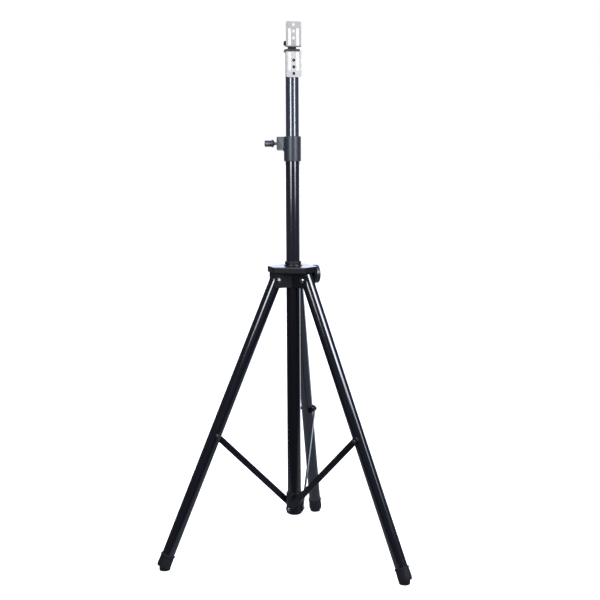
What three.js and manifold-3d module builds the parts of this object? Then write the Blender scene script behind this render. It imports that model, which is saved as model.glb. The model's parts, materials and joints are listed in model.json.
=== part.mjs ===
// Tripod stand for a loudspeaker: three tube legs on a sliding hub, flat braces, a telescopic mast with
// a clamping collar, and two slotted angle brackets at the top, the upper one tilting.
// Millimetres, +Z up, floor at z = 0. The stand is built round its pole axis and then moved so that the
// centre of its footprint is the origin.
import * as THREE from 'three';
import { mergeVertices } from 'three/addons/utils/BufferGeometryUtils.js';
import Module from 'manifold-3d';

const wasm = await Module();
wasm.setup();

// ---------------------------------------------------------------- driving dimensions
const GAP = 0.3; // clearance between pieces that touch or slide

const MAIN_DIAMETER = 35;
const MAIN_WALL = 1.2;
const MAIN_BOTTOM = 109; // height of the main tube's lower end above the floor
const MAIN_LENGTH = 941;

const MAST_WALL = 1.2;
const MAST_INSIDE = 600; // length of mast held inside the main tube
const MAST_OUTSIDE = 233.9; // length of mast above the main tube

const PIVOT_RADIUS = 46; // leg pivot from the pole axis
const PIVOT_HEIGHT = 723;
const LEG_DIAMETER = 32;
const LEG_WALL = 1.2;
const LEG_ABOVE_PIVOT = 12.5; // short enough to swing clear of the cap rim
const STANCE_RADIUS = 356; // where a leg's centre line meets the floor

const FOOT_DIAMETER = 37;
const FOOT_LENGTH = 34;
const FOOT_END_UP = 9; // end face of the rubber cap, measured up the leg from the floor
const SOLE_RADIUS = 14;
const SOLE_HEIGHT = 13;
const SOLE_INSET = 7; // the sole's centre sits this far inside the stance radius

const BRACE_ON_LEG = 419.5; // leg pivot to brace pivot, along the leg
const BRACE_LOW_HEIGHT = 122; // height of the brace's lower pivot, on the pole axis
const BRACE_WIDTH = 16;
const BRACE_THICKNESS = 3;
const BRACE_EYE_RADIUS = 10; // wider round eye at the brace's lower end
const SPACER_LENGTH = 4;
const SPACER_DIAMETER = 20;
const LOWER_BRACKET_HEIGHT = 56;
const LOWER_BRACKET_DIAMETER = 42;
const LOWER_BRACKET_WALL = 1.9; // metal left under each flat

const WALL_THICKNESS = 2.5; // pressed clevis walls of the hub
const WALL_BELOW_PIVOT = 20;
const WALL_PAST_PIVOT = 11;
const BUSH_WALL = 2.1;
const CAP_TOP_ABOVE_PIVOT = 30.5;
const CAP_THICKNESS = 2;
const CAP_RIM_HEIGHT = 14.5;
const CAP_PAST_PIVOT = 15.5;
const CAP_SIDE_ROOM = 2.4;
const LEG_SIDE_ROOM = 1.5;

const LOCK_ABOVE_PIVOT = 10;
const LOCK_KNOB_DIAMETER = 48;
const LOCK_KNOB_THICKNESS = 15;

const COLLAR_DIAMETER = 42.5;
const COLLAR_HEIGHT = 62;
const COLLAR_ABOVE_MAIN = 31; // collar top above the main tube's upper end
const LUG_REACH = 17; // lug beyond the collar's side
const LUG_HEIGHT = 34;
const LUG_WIDTH = 22;
const LUG_BELOW_TOP = 1;
const CLAMP_BELOW_TOP = 18; // clamp screw axis below the collar's top
const CLAMP_KNOB_LENGTH = 24.2;
const CLAMP_KNOB_STANDOFF = 7.5; // thread left showing between the lug and the knob

const BRACKET_WIDTH = 38;
const BRACKET_THICKNESS = 2;
const BRACKET_REACH = 22; // front face of the plates, ahead of the pole axis
const LOWER_PLATE_LENGTH = 63.5;
const UPPER_PLATE_LENGTH = 61.5;
const BRACKET_YAW = THREE.MathUtils.degToRad(22); // the plates face this far round from -Y towards +X
const SLOT_DIAMETER = 7.5;
const SLOT_PITCH = 16;
const SLOT_FROM_END = 9;
const GROOVE_WIDTH = 7.5;
const GROOVE_OFFSET = 10;
const GROOVE_DEPTH = 1;
const GROOVE_FROM_END = 16;
const POST_BASE = 34;
const POST_BASE_THICKNESS = 4.7;
const POST_WIDTH = 18;
const TILT_ABOVE_BASE = 14.5;
const CHEEK_THICKNESS = 2.6;
const CHEEK_HEIGHT = 13.5;
const RIVET_RADIUS = 2;
const RIVET_TAIL_RADIUS = 2.8;
const LIP_DEPTH = 8;
const LIP_ABOVE_BASE = 6;
const TOP_PLUG_DEPTH = 22;

const M6 = 3; // shank radii
const M8 = 4;
const NUT_FLATS = 13; // across the flats of an M8 nut

// ---------------------------------------------------------------- sizes that follow
const mainRadius = MAIN_DIAMETER / 2;
const mainBore = mainRadius - MAIN_WALL;
const mainTop = MAIN_BOTTOM + MAIN_LENGTH;
const mastRadius = mainBore - GAP;
const mastBore = mastRadius - MAST_WALL;
const mastTop = mainTop + MAST_OUTSIDE;
const mastBottom = mainTop - MAST_INSIDE;

const legRadius = LEG_DIAMETER / 2;
const legTilt = Math.atan2(STANCE_RADIUS - PIVOT_RADIUS, PIVOT_HEIGHT);
const legReach = Math.hypot(STANCE_RADIUS - PIVOT_RADIUS, PIVOT_HEIGHT);
const footRadius = Math.max(FOOT_DIAMETER / 2, legRadius + GAP + 2);

// The hub's walls stand beside the legs and outside the bush on the main tube, so they clear both.
const SIN_60 = Math.sin(Math.PI / 3);
const bushRoom = (mainRadius + BUSH_WALL + 2 * GAP) * SIN_60;
const wallInner = Math.max(legRadius + LEG_SIDE_ROOM, bushRoom);
const wallOuter = wallInner + WALL_THICKNESS;
const wallEnd = PIVOT_RADIUS + WALL_PAST_PIVOT;
const wallBottom = PIVOT_HEIGHT - WALL_BELOW_PIVOT;
const capTop = PIVOT_HEIGHT + CAP_TOP_ABOVE_PIVOT;
const capEnd = PIVOT_RADIUS + CAP_PAST_PIVOT;
const capSide = wallEnd / 2 + wallOuter * SIN_60 + CAP_SIDE_ROOM + CAP_THICKNESS;

// The braces run beside the legs and beside the flats of the lower bracket.
const flatNeeded = mainRadius + GAP + LOWER_BRACKET_WALL;
const braceInner = Math.max(legRadius + SPACER_LENGTH, flatNeeded + GAP);
const braceOuter = braceInner + BRACE_THICKNESS;
const flatDistance = braceInner - GAP;
const braceTopRadius = PIVOT_RADIUS + BRACE_ON_LEG * Math.sin(legTilt);
const braceTopHeight = PIVOT_HEIGHT - BRACE_ON_LEG * Math.cos(legTilt);
const braceLength = Math.hypot(braceTopRadius, braceTopHeight - BRACE_LOW_HEIGHT);
const braceRise = Math.atan2(braceTopHeight - BRACE_LOW_HEIGHT, braceTopRadius);

const collarRadius = Math.max(COLLAR_DIAMETER / 2, mainRadius + GAP + 2);
const collarTop = mainTop + COLLAR_ABOVE_MAIN;
const clampHeight = collarTop - CLAMP_BELOW_TOP;
const lugEnd = collarRadius + LUG_REACH;

const leafBottom = mastTop + 2 + 2 * GAP;
const leafTop = leafBottom + BRACKET_THICKNESS;
const postBaseBottom = leafTop + GAP;
const postBaseTop = postBaseBottom + POST_BASE_THICKNESS;
const tiltHeight = postBaseTop + TILT_ABOVE_BASE;
const plateBack = BRACKET_REACH - BRACKET_THICKNESS;

// ---------------------------------------------------------------- materials
function finish(color, roughness, metalness) {
  return new THREE.MeshStandardMaterial({ color, roughness, metalness });
}

const glossPaint = finish(0x0b0b0d, 0.22, 0.1);
const satinPaint = finish(0x17181a, 0.45, 0.2);
const plastic = finish(0x23282e, 0.5, 0);
const rubber = finish(0x141414, 0.85, 0);
const knobPlastic = finish(0x101113, 0.3, 0);
const zinc = finish(0xd0d0d4, 0.35, 0.8);
const steel = finish(0x9a9ca0, 0.35, 0.9);

// ---------------------------------------------------------------- shape helpers
const at = (x, y, z) => new THREE.Matrix4().makeTranslation(x, y, z);
const turnX = (angle) => new THREE.Matrix4().makeRotationX(angle);
const turnY = (angle) => new THREE.Matrix4().makeRotationY(angle);
const turnZ = (angle) => new THREE.Matrix4().makeRotationZ(angle);

// A closed three.js geometry as a solid that can be joined and cut.
function solid(geometry, place) {
  const bare = geometry.clone();
  bare.deleteAttribute('normal');
  bare.deleteAttribute('uv');
  if (place) bare.applyMatrix4(place);
  const merged = mergeVertices(bare, 1e-4);
  const vertProperties = new Float32Array(merged.attributes.position.array);
  const triVerts = new Uint32Array(merged.index.array);
  return new wasm.Manifold(new wasm.Mesh({ numProp: 3, vertProperties, triVerts }));
}

// A solid of revolution about Z from [radius, z] pairs listed from the bottom up, round the outside.
function turned(profile, sides = 32, place) {
  const points = profile.map(([radius, z]) => new THREE.Vector2(radius, z));
  const lathe = new THREE.LatheGeometry(points, sides).applyMatrix4(turnX(Math.PI / 2));
  return solid(lathe, place);
}

const rod = (radius, low, high, sides = 16, place) =>
  turned([[0, low], [radius, low], [radius, high], [0, high]], sides, place);

const sleeve = (outer, inner, low, high, sides = 32, place) =>
  turned([[inner, low], [outer, low], [outer, high], [inner, high], [inner, low]], sides, place);

const hexagon = (acrossFlats, low, high, place) => rod(acrossFlats / 2 / SIN_60, low, high, 6, place);

function block(x0, x1, y0, y1, z0, z1) {
  const box = new THREE.BoxGeometry(x1 - x0, y1 - y0, z1 - z0);
  return solid(box, at((x0 + x1) / 2, (y0 + y1) / 2, (z0 + z1) / 2));
}

// A shape drawn in x and y, extruded from z = low to z = high.
function slab(shape, low, high, place) {
  const settings = { depth: high - low, bevelEnabled: false, curveSegments: 6 };
  const extruded = new THREE.ExtrudeGeometry(shape, settings);
  extruded.applyMatrix4(at(0, 0, low));
  return solid(extruded, place);
}

const outline = (points) => new THREE.Shape(points.map(([x, y]) => new THREE.Vector2(x, y)));

function cut(body, ...tools) {
  return tools.reduce((rest, tool) => rest.subtract(tool), body);
}

function join(first, ...others) {
  return others.reduce((sum, other) => sum.add(other), first);
}

function piece(name, body, material) {
  const mesh = body.getMesh();
  const geometry = new THREE.BufferGeometry();
  geometry.setAttribute('position', new THREE.BufferAttribute(new Float32Array(mesh.vertProperties), 3));
  geometry.setIndex(new THREE.BufferAttribute(new Uint32Array(mesh.triVerts), 1));
  geometry.computeVertexNormals();
  const part = new THREE.Mesh(geometry, material);
  part.name = name;
  return part;
}

// Places that point a piece built along +Z sideways.
const alongMinusX = turnY(-Math.PI / 2);
const alongX = turnY(Math.PI / 2);
const alongMinusY = turnX(Math.PI / 2);
const alongY = turnX(-Math.PI / 2);

// A bolt along +Z: the shank runs from `tip` to `seat`, the domed head stands on the seat.
function domedBolt(shankRadius, headRadius, headHeight, tip, seat, place) {
  const profile = [[0, tip], [shankRadius, tip], [shankRadius, seat], [headRadius, seat]];
  for (const step of [0.25, 0.5, 0.75]) {
    const angle = step * Math.PI / 2;
    profile.push([headRadius * Math.cos(angle), seat + headHeight * Math.sin(angle)]);
  }
  profile.push([0, seat + headHeight]);
  return turned(profile, 12, place);
}

// A domed nut along +Z, bored right through its skirt and closed at the dome.
function domedNut(boreRadius, radius, low, high, place) {
  const profile = [[0, low], [radius, low], [radius, low + 2], [radius * 0.75, high - 0.8], [0, high]];
  const dome = turned(profile, 12);
  const bored = cut(dome, rod(boreRadius, low - 1, high - 2, 12));
  return place ? bored.transform(place.elements) : bored;
}

// ---------------------------------------------------------------- pole: main tube, lower bracket, collar
function addPole(stand) {
  const tube = sleeve(mainRadius, mainBore, MAIN_BOTTOM, mainTop, 32);
  stand.add(piece('main_tube', tube, glossPaint));

  const plugTop = MAIN_BOTTOM + 16;
  const plugHead = rod(mainRadius, MAIN_BOTTOM - 3, MAIN_BOTTOM - GAP, 32);
  const plug = join(plugHead, rod(mainBore - GAP, MAIN_BOTTOM - 1, plugTop, 32));
  stand.add(piece('tube_end_plug', plug, plastic));

  const outer = Math.max(LOWER_BRACKET_DIAMETER / 2, flatDistance + 1.3);
  let bracket = sleeve(outer, mainRadius + GAP, MAIN_BOTTOM, MAIN_BOTTOM + LOWER_BRACKET_HEIGHT, 32);
  const bracketTop = MAIN_BOTTOM + LOWER_BRACKET_HEIGHT;
  for (const turn of [0, 1, 2]) {
    const shaving = block(flatDistance, outer + 5, -outer, outer, MAIN_BOTTOM - 1, bracketTop + 1);
    bracket = bracket.subtract(shaving.transform(turnZ(turn * 2 * Math.PI / 3).elements));
  }
  stand.add(piece('lower_bracket', bracket, satinPaint));
}

function addCollar(stand) {
  const bottom = collarTop - COLLAR_HEIGHT;
  const bore = mainRadius + GAP;
  const lugTop = collarTop - LUG_BELOW_TOP;
  const body = turned([
    [bore, bottom], [collarRadius - 1, bottom], [collarRadius, bottom + 1], [collarRadius, collarTop - 1.5],
    [collarRadius - 1.5, collarTop], [bore, collarTop], [bore, bottom],
  ], 32);
  const lug = block(-lugEnd, -bore - 1, -LUG_WIDTH / 2, LUG_WIDTH / 2, lugTop - LUG_HEIGHT, lugTop);
  const nutDepth = 6.5;
  const clampAxis = at(0, 0, clampHeight).multiply(alongMinusX);
  const screwHole = rod(M8 + GAP, bore - 2, lugEnd + 2, 12, clampAxis);
  const pocket = hexagon(NUT_FLATS + 2 * GAP, lugEnd - nutDepth - GAP, lugEnd + 2, clampAxis);
  const tubeRoom = rod(bore, bottom - 1, collarTop + 1, 32);
  stand.add(piece('collar_body', cut(join(body, lug), tubeRoom, screwHole, pocket), plastic));

  const nut = cut(
    hexagon(NUT_FLATS, lugEnd - nutDepth, lugEnd, clampAxis),
    rod(M8 + GAP, bore, lugEnd + 2, 12, clampAxis),
  );
  stand.add(piece('collar_nut', nut, steel));

  const liner = cut(
    sleeve(bore - GAP, mastRadius + GAP, mainTop + GAP, collarTop - 0.5, 32),
    rod(M8 + GAP, mastRadius - 1, bore + 2, 12, clampAxis),
  );
  stand.add(piece('collar_liner', liner, rubber));

  const clamp = new THREE.Group();
  clamp.position.z = clampHeight;
  clamp.rotation.y = -Math.PI / 2;
  const knobFoot = lugEnd + CLAMP_KNOB_STANDOFF;
  const knobEnd = knobFoot + CLAMP_KNOB_LENGTH;
  clamp.add(piece('clamp_screw', rod(M8, mastRadius + GAP, knobEnd - 5, 12), steel));
  const knob = turned([
    [0, knobFoot], [10, knobFoot], [10, knobFoot + 6], [8.4, knobFoot + 8.5], [7.2, knobFoot + 12],
    [8, knobEnd - 4], [7.4, knobEnd - 1], [5.5, knobEnd], [0, knobEnd],
  ], 24);
  clamp.add(piece('clamp_knob', cut(knob, rod(M8 + GAP, knobFoot - 1, knobEnd - 4, 12)), knobPlastic));
  stand.add(clamp);
}

// ---------------------------------------------------------------- mast and its brackets
function addMast(stand) {
  stand.add(piece('mast_tube', sleeve(mastRadius, mastBore, mastBottom, mastTop, 32), glossPaint));
  const plugRadius = mastBore - GAP;
  const plugHead = rod(mastRadius, mastBottom - 4, mastBottom - GAP, 32);
  const bottomPlug = join(plugHead, rod(plugRadius, mastBottom - 1, mastBottom + 18, 32));
  stand.add(piece('mast_bottom_plug', bottomPlug, plastic));
  const plugDepth = mastTop - TOP_PLUG_DEPTH;
  const topPlug = join(
    rod(plugRadius, plugDepth, mastTop + 1, 32),
    rod(mastRadius, mastTop + GAP, leafBottom - GAP, 32),
  );
  stand.add(piece('mast_top_plug', cut(topPlug, rod(M8 + GAP, plugDepth - 1, leafTop, 12)), plastic));
}

// The punched, grooved face shared by both brackets: its free end is at y = 0 and its fold at y = length.
function slottedPlate(length) {
  const half = BRACKET_WIDTH / 2;
  const corner = 4;
  const face = new THREE.Shape();
  face.moveTo(-half, length);
  face.lineTo(-half, corner);
  face.absarc(-half + corner, corner, corner, Math.PI, 1.5 * Math.PI);
  face.absarc(half - corner, corner, corner, 1.5 * Math.PI, 2 * Math.PI);
  face.lineTo(half, length);
  let plate = slab(face, 0, BRACKET_THICKNESS);
  for (const row of [0, 1, 2]) {
    const middle = at(0, SLOT_FROM_END + row * SLOT_PITCH, 0);
    const hole = rod(SLOT_DIAMETER / 2, -1, BRACKET_THICKNESS + 1, 16, middle);
    plate = plate.subtract(hole);
  }
  for (const side of [-1, 1]) {
    const middle = side * GROOVE_OFFSET;
    const low = GROOVE_FROM_END + GROOVE_WIDTH / 2;
    const groove = new THREE.Shape();
    groove.moveTo(middle + GROOVE_WIDTH / 2, length - 3);
    groove.lineTo(middle - GROOVE_WIDTH / 2, length - 3);
    groove.lineTo(middle - GROOVE_WIDTH / 2, low);
    groove.absarc(middle, low, GROOVE_WIDTH / 2, Math.PI, 2 * Math.PI);
    plate = plate.subtract(slab(groove, BRACKET_THICKNESS - GROOVE_DEPTH, BRACKET_THICKNESS + 1));
  }
  return plate;
}

function addBrackets(stand) {
  const head = new THREE.Group();
  head.rotation.z = BRACKET_YAW;
  stand.add(head);
  const half = BRACKET_WIDTH / 2;

  // Lower bracket: its plate hangs in front of the mast and its leaf lies across the mast's top plug.
  const lowerFace = slottedPlate(LOWER_PLATE_LENGTH);
  const facing = at(0, -plateBack, leafTop - LOWER_PLATE_LENGTH).multiply(alongMinusY);
  const lowerLeaf = block(-half, half, -BRACKET_REACH, mastRadius + 1, leafBottom, leafTop);
  const boltHole = rod(M8 + GAP, leafBottom - 1, leafTop + 1, 12);
  const lower = cut(join(lowerFace.transform(facing.elements), lowerLeaf), boltHole);
  head.add(piece('lower_angle_bracket', lower, zinc));

  // Tilt post: a square base under a round-topped tongue.
  const tongue = new THREE.Shape();
  const reach = POST_WIDTH / 2;
  tongue.moveTo(-reach, postBaseTop - 1);
  tongue.lineTo(reach, postBaseTop - 1);
  tongue.lineTo(reach, tiltHeight);
  tongue.absarc(0, tiltHeight, reach, 0, Math.PI);
  const acrossX = turnZ(Math.PI / 2).multiply(turnX(Math.PI / 2));
  const edge = POST_BASE / 2;
  const base = block(-edge, edge, -edge, edge, postBaseBottom, postBaseTop);
  const post = cut(
    join(base, slab(tongue, -reach, reach, acrossX)),
    rod(M6 + GAP, -reach - 1, reach + 1, 12, at(0, 0, tiltHeight).multiply(alongX)),
    rod(M8 + GAP, postBaseBottom - 1, postBaseTop + 5, 12),
  );
  head.add(piece('tilt_post', post, satinPaint));
  const boltTip = postBaseTop + 4;
  const boltSeat = mastTop - TOP_PLUG_DEPTH - GAP;
  const postBolt = join(hexagon(NUT_FLATS, boltSeat - 5.5, boltSeat), rod(M8, boltSeat - 1, boltTip, 12));
  head.add(piece('post_bolt', postBolt, steel));

  // Upper bracket: the plate stands up from a short lip, and a forked clevis on its back holds the pivot.
  const tilting = new THREE.Group();
  tilting.position.z = tiltHeight;
  head.add(tilting);
  const foldDrop = TILT_ABOVE_BASE - LIP_ABOVE_BASE; // pivot down to the underside of the lip
  const upperFace = slottedPlate(UPPER_PLATE_LENGTH);
  const topEdge = at(0, -plateBack, UPPER_PLATE_LENGTH - foldDrop);
  const raised = topEdge.multiply(turnX(Math.PI / 2)).multiply(turnZ(Math.PI));
  const lipTop = -foldDrop + BRACKET_THICKNESS;
  const lip = block(-half, half, -BRACKET_REACH, -plateBack + LIP_DEPTH, -foldDrop, lipTop);
  const cheekBottom = lipTop + GAP;
  const rivetHeights = [cheekBottom + 3.4, cheekBottom + 9.8];
  const rivetHoles = rivetHeights.map((z) => {
    const along = at(0, 0, z).multiply(alongMinusY);
    return rod(RIVET_RADIUS + GAP, 0, BRACKET_REACH + 3, 12, along);
  });
  const upper = cut(join(upperFace.transform(raised.elements), lip), ...rivetHoles);
  tilting.add(piece('upper_angle_bracket', upper, zinc));

  const cheekInner = reach + GAP;
  const cheekOuter = cheekInner + CHEEK_THICKNESS;
  const webFront = plateBack - GAP;
  const webBack = webFront - CHEEK_THICKNESS;
  const cheekTop = cheekBottom + CHEEK_HEIGHT;
  const side = new THREE.Shape();
  const round = -cheekBottom;
  side.moveTo(-webFront, cheekBottom);
  side.lineTo(0, cheekBottom);
  side.absarc(0, 0, round, -Math.PI / 2, Math.PI / 2);
  side.lineTo(-webBack, cheekTop);
  side.lineTo(-webFront, cheekTop);
  const fork = slab(side, -cheekOuter, cheekOuter, acrossX);
  const throat = block(-cheekInner, cheekInner, -webBack, round + 1, cheekBottom - 1, cheekTop + 1);
  const pivotHole = rod(M6 + GAP, -cheekOuter - 1, cheekOuter + 1, 12, alongX);
  tilting.add(piece('tilt_clevis', cut(fork, throat, pivotHole, ...rivetHoles), satinPaint));

  rivetHeights.forEach((z, index) => {
    const shank = rod(RIVET_RADIUS, webBack - 1, BRACKET_REACH - 0.1, 12);
    const tail = rod(RIVET_TAIL_RADIUS, webBack - 1.8, webBack - GAP, 12);
    const rivet = join(shank, tail).transform(at(0, 0, z).multiply(alongMinusY).elements);
    tilting.add(piece(['clevis_rivet_lower', 'clevis_rivet_upper'][index], rivet, steel));
  });

  const washerFace = cheekOuter + GAP;
  const headFace = washerFace + 2 + GAP;
  for (const [name, direction] of [['tilt_washer_left', alongMinusX], ['tilt_washer_right', alongX]]) {
    tilting.add(piece(name, sleeve(6.5, M6 + GAP, washerFace, washerFace + 2, 16, direction), satinPaint));
  }
  const tiltBolt = join(
    rod(M6, -headFace - 8, headFace + 1, 12, alongMinusX),
    rod(6, headFace, headFace + 5.6, 20, alongMinusX),
  );
  tilting.add(piece('tilt_bolt', tiltBolt, satinPaint));
  const nutRoom = rod(M6 + GAP, headFace - 1, headFace + 6, 12, alongX);
  const tiltNut = cut(hexagon(10, headFace, headFace + 5, alongX), nutRoom);
  tilting.add(piece('tilt_nut', tiltNut, steel));
}

// ---------------------------------------------------------------- sliding hub
// A six-sided outline: three short sides across the legs and three long ones between them.
function capOutline(endDistance, sideDistance) {
  const corners = [];
  for (const turn of [0, 1, 2]) {
    const middle = turn * 2 * Math.PI / 3;
    const halfShort = (sideDistance - endDistance / 2) / SIN_60;
    for (const hand of [-1, 1]) {
      corners.push([
        endDistance * Math.cos(middle) - hand * halfShort * Math.sin(middle),
        endDistance * Math.sin(middle) + hand * halfShort * Math.cos(middle),
      ]);
    }
  }
  return outline(corners);
}

function addHub(stand) {
  const hub = new THREE.Group();
  hub.rotation.z = Math.PI / 2; // local +X points at the back leg
  stand.add(hub);

  const shell = slab(capOutline(capEnd, capSide), capTop - CAP_RIM_HEIGHT, capTop);
  const inside = slab(
    capOutline(capEnd - CAP_THICKNESS, capSide - CAP_THICKNESS),
    capTop - CAP_RIM_HEIGHT - 1,
    capTop - CAP_THICKNESS,
  );
  const bushOuter = mainRadius + GAP + BUSH_WALL;
  const bushHole = rod(bushOuter + GAP, capTop - 5, capTop + 5, 32);
  hub.add(piece('hub_cap', cut(shell, inside, bushHole), satinPaint));

  const ringRadius = bushOuter + 1.85;
  const bushBore = mainRadius + GAP;
  const upperBush = turned([
    [bushBore, capTop - 16], [bushOuter, capTop - 16], [bushOuter, capTop + GAP],
    [bushOuter + 1.2, capTop + GAP], [bushOuter + 0.4, capTop + 5], [ringRadius, capTop + 5], [ringRadius, capTop + 13.7],
    [ringRadius - 0.8, capTop + 14.5], [bushBore, capTop + 14.5], [bushBore, capTop - 16],
  ], 28);
  hub.add(piece('hub_bush_upper', upperBush, plastic));
  const lowBushRadius = wallInner / SIN_60 - GAP;
  const lowBush = sleeve(lowBushRadius, bushBore, wallBottom + 1, wallBottom + 19, 28);
  hub.add(piece('hub_bush_lower', lowBush, plastic));

  // Three folded walls, each reaching along two neighbouring legs.
  const wallTop = capTop - CAP_THICKNESS - GAP;
  const names = ['hub_wall_back_left', 'hub_wall_front', 'hub_wall_back_right'];
  const foldInner = wallInner / SIN_60;
  const foldOuter = wallOuter / SIN_60;
  const lockHeight = PIVOT_HEIGHT + LOCK_ABOVE_PIVOT;
  names.forEach((name, index) => {
    const middle = Math.PI / 3 + index * 2 * Math.PI / 3;
    const arm = (hand, distance, offset) => {
      const leg = middle - hand * Math.PI / 3;
      const across = leg + hand * Math.PI / 2;
      return [
        distance * Math.cos(leg) + offset * Math.cos(across),
        distance * Math.sin(leg) + offset * Math.sin(across),
      ];
    };
    const fold = (distance) => [distance * Math.cos(middle), distance * Math.sin(middle)];
    const wall = slab(outline([
      fold(foldInner), arm(1, wallEnd, wallInner), arm(1, wallEnd, wallOuter),
      fold(foldOuter), arm(-1, wallEnd, wallOuter), arm(-1, wallEnd, wallInner),
    ]), wallBottom, wallTop);
    const bolts = [1, -1].map((hand) => {
      const leg = middle - hand * Math.PI / 3;
      return rod(M8 + GAP, -wallOuter - 5, wallOuter + 5, 12,
        turnZ(leg).multiply(at(PIVOT_RADIUS, 0, PIVOT_HEIGHT)).multiply(alongY));
    });
    const lockHole = rod(M8 + GAP, mainRadius, foldOuter + 3, 12,
      turnZ(middle).multiply(at(0, 0, lockHeight)).multiply(alongX));
    hub.add(piece(name, index === 2 ? cut(wall, ...bolts, lockHole) : cut(wall, ...bolts), satinPaint));
  });

  // Lock screw between the back leg and the right leg; its nut sits against the fold of the wall.
  const lock = new THREE.Group();
  lock.rotation.z = 5 * Math.PI / 3;
  hub.add(lock);
  const lockPlace = at(0, 0, lockHeight).multiply(alongX);
  const nutCorner = NUT_FLATS / 2 / SIN_60;
  const nutFace = foldOuter + nutCorner / Math.tan(Math.PI / 3) + GAP; // its corners clear the V
  const lockRoom = rod(M8 + GAP, 0, nutFace + 9, 12, lockPlace);
  const lockNut = cut(hexagon(NUT_FLATS, nutFace, nutFace + 8, lockPlace), lockRoom);
  lock.add(piece('hub_lock_nut', lockNut, steel));
  const knobFoot = capSide + 1.8;
  const knobEnd = knobFoot + LOCK_KNOB_THICKNESS;
  const knobRadius = LOCK_KNOB_DIAMETER / 2;
  lock.add(piece('hub_lock_screw', rod(M8, mainRadius + GAP, knobEnd - 4, 12, lockPlace), steel));
  const knob = turned([
    [0, knobFoot], [knobRadius - 4, knobFoot], [knobRadius - 1, knobFoot + 2], [knobRadius, knobFoot + 5],
    [knobRadius, knobEnd - 4], [knobRadius - 2, knobEnd - 1], [knobRadius - 5, knobEnd], [0, knobEnd],
  ], 28, lockPlace);
  const screwRoom = rod(M8 + GAP, knobFoot - 1, knobEnd - 3, 12, lockPlace);
  lock.add(piece('hub_lock_knob', cut(knob, screwRoom), knobPlastic));
}

// ---------------------------------------------------------------- legs, feet and braces
// Each leg is built in a frame whose +X points outward along the leg and whose -Y side carries the brace.
function addLeg(stand, label, heading) {
  const radial = new THREE.Group();
  radial.rotation.z = heading;
  stand.add(radial);
  const swing = new THREE.Group();
  swing.position.set(PIVOT_RADIUS, 0, PIVOT_HEIGHT);
  swing.rotation.y = -legTilt;
  radial.add(swing);

  const tubeEnd = FOOT_END_UP + 4;
  const crossEnd = legRadius + 5;
  const crossHole = (radius, z) => rod(radius, -crossEnd, crossEnd, 16, at(0, 0, z).multiply(alongY));
  const tube = cut(
    sleeve(legRadius, legRadius - LEG_WALL, tubeEnd - legReach, LEG_ABOVE_PIVOT, 28),
    crossHole(M8 + GAP, 0),
    crossHole(M6 + GAP, -BRACE_ON_LEG),
  );
  swing.add(piece(`leg_tube_${label}`, tube, glossPaint));

  const legPlace = at(PIVOT_RADIUS, 0, PIVOT_HEIGHT).multiply(turnY(-legTilt));
  const footLow = FOOT_END_UP - legReach;
  const footTop = footLow + FOOT_LENGTH;
  const cup = turned([
    [0, footLow], [footRadius - 2, footLow], [footRadius, footLow + 2],
    [footRadius, footTop - 1], [footRadius - 1, footTop], [0, footTop],
  ], 32, legPlace);
  const sole = rod(SOLE_RADIUS, 0, SOLE_HEIGHT, 28, at(STANCE_RADIUS - SOLE_INSET, 0, 0));
  const socket = rod(legRadius + GAP, tubeEnd - GAP - legReach, footTop + 5, 28, legPlace);
  radial.add(piece(`foot_${label}`, cut(join(cup, sole), socket), rubber));

  // Pivot bolt through the hub walls, and the brace's bolt, spacer and nut on the leg.
  const seat = wallOuter + GAP;
  const pivotPlace = at(PIVOT_RADIUS, 0, PIVOT_HEIGHT);
  const pivotBolt = domedBolt(M8, 6.5, 4, -seat - 4, seat, pivotPlace.clone().multiply(alongMinusY));
  radial.add(piece(`leg_bolt_${label}`, pivotBolt, steel));
  const pivotNut = domedNut(M8 + GAP, 6.5, seat, seat + 7, pivotPlace.clone().multiply(alongY));
  radial.add(piece(`leg_nut_${label}`, pivotNut, steel));

  const braceSeat = braceOuter + GAP;
  const legSide = legRadius + GAP;
  const atBrace = at(0, 0, -BRACE_ON_LEG);
  const braceBolt = domedBolt(M6, 5, 3.4, -legSide - 3.4, braceSeat, atBrace.clone().multiply(alongMinusY));
  swing.add(piece(`brace_bolt_${label}`, braceBolt, steel));
  const braceNut = domedNut(M6 + GAP, 5, legSide, legSide + 6, atBrace.clone().multiply(alongY));
  swing.add(piece(`brace_nut_${label}`, braceNut, steel));
  const sideways = atBrace.clone().multiply(alongMinusY);
  const collar = sleeve(SPACER_DIAMETER / 2, M6 + GAP, legRadius - 4, braceInner - GAP, 24, sideways);
  const spacer = cut(collar, rod(legRadius + GAP, -SPACER_DIAMETER, SPACER_DIAMETER, 28, atBrace));
  swing.add(piece(`brace_spacer_${label}`, spacer, satinPaint));

  // Brace from the pole up to the leg.
  const brace = new THREE.Group();
  brace.position.set(0, 0, BRACE_LOW_HEIGHT);
  brace.rotation.y = -braceRise;
  radial.add(brace);
  const round = BRACE_WIDTH / 2;
  const bar = new THREE.Shape();
  bar.moveTo(0, -round);
  bar.lineTo(braceLength, -round);
  bar.absarc(braceLength, 0, round, -Math.PI / 2, Math.PI / 2);
  bar.lineTo(0, round);
  bar.absarc(0, 0, round, Math.PI / 2, 1.5 * Math.PI);
  const eye = rod(BRACE_EYE_RADIUS, braceInner, braceOuter, 24, alongMinusY);
  const flatBar = cut(
    join(slab(bar, braceInner, braceOuter, alongMinusY), eye),
    rod(M6 + GAP, braceInner - 1, braceOuter + 1, 12, alongMinusY),
    rod(M6 + GAP, braceInner - 1, braceOuter + 1, 12, at(braceLength, 0, 0).multiply(alongMinusY)),
  );
  brace.add(piece(`brace_${label}`, flatBar, satinPaint));
  const lowBolt = domedBolt(M6, 5, 3.4, braceInner, braceSeat, alongMinusY);
  brace.add(piece(`brace_low_bolt_${label}`, lowBolt, steel));
}

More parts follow.
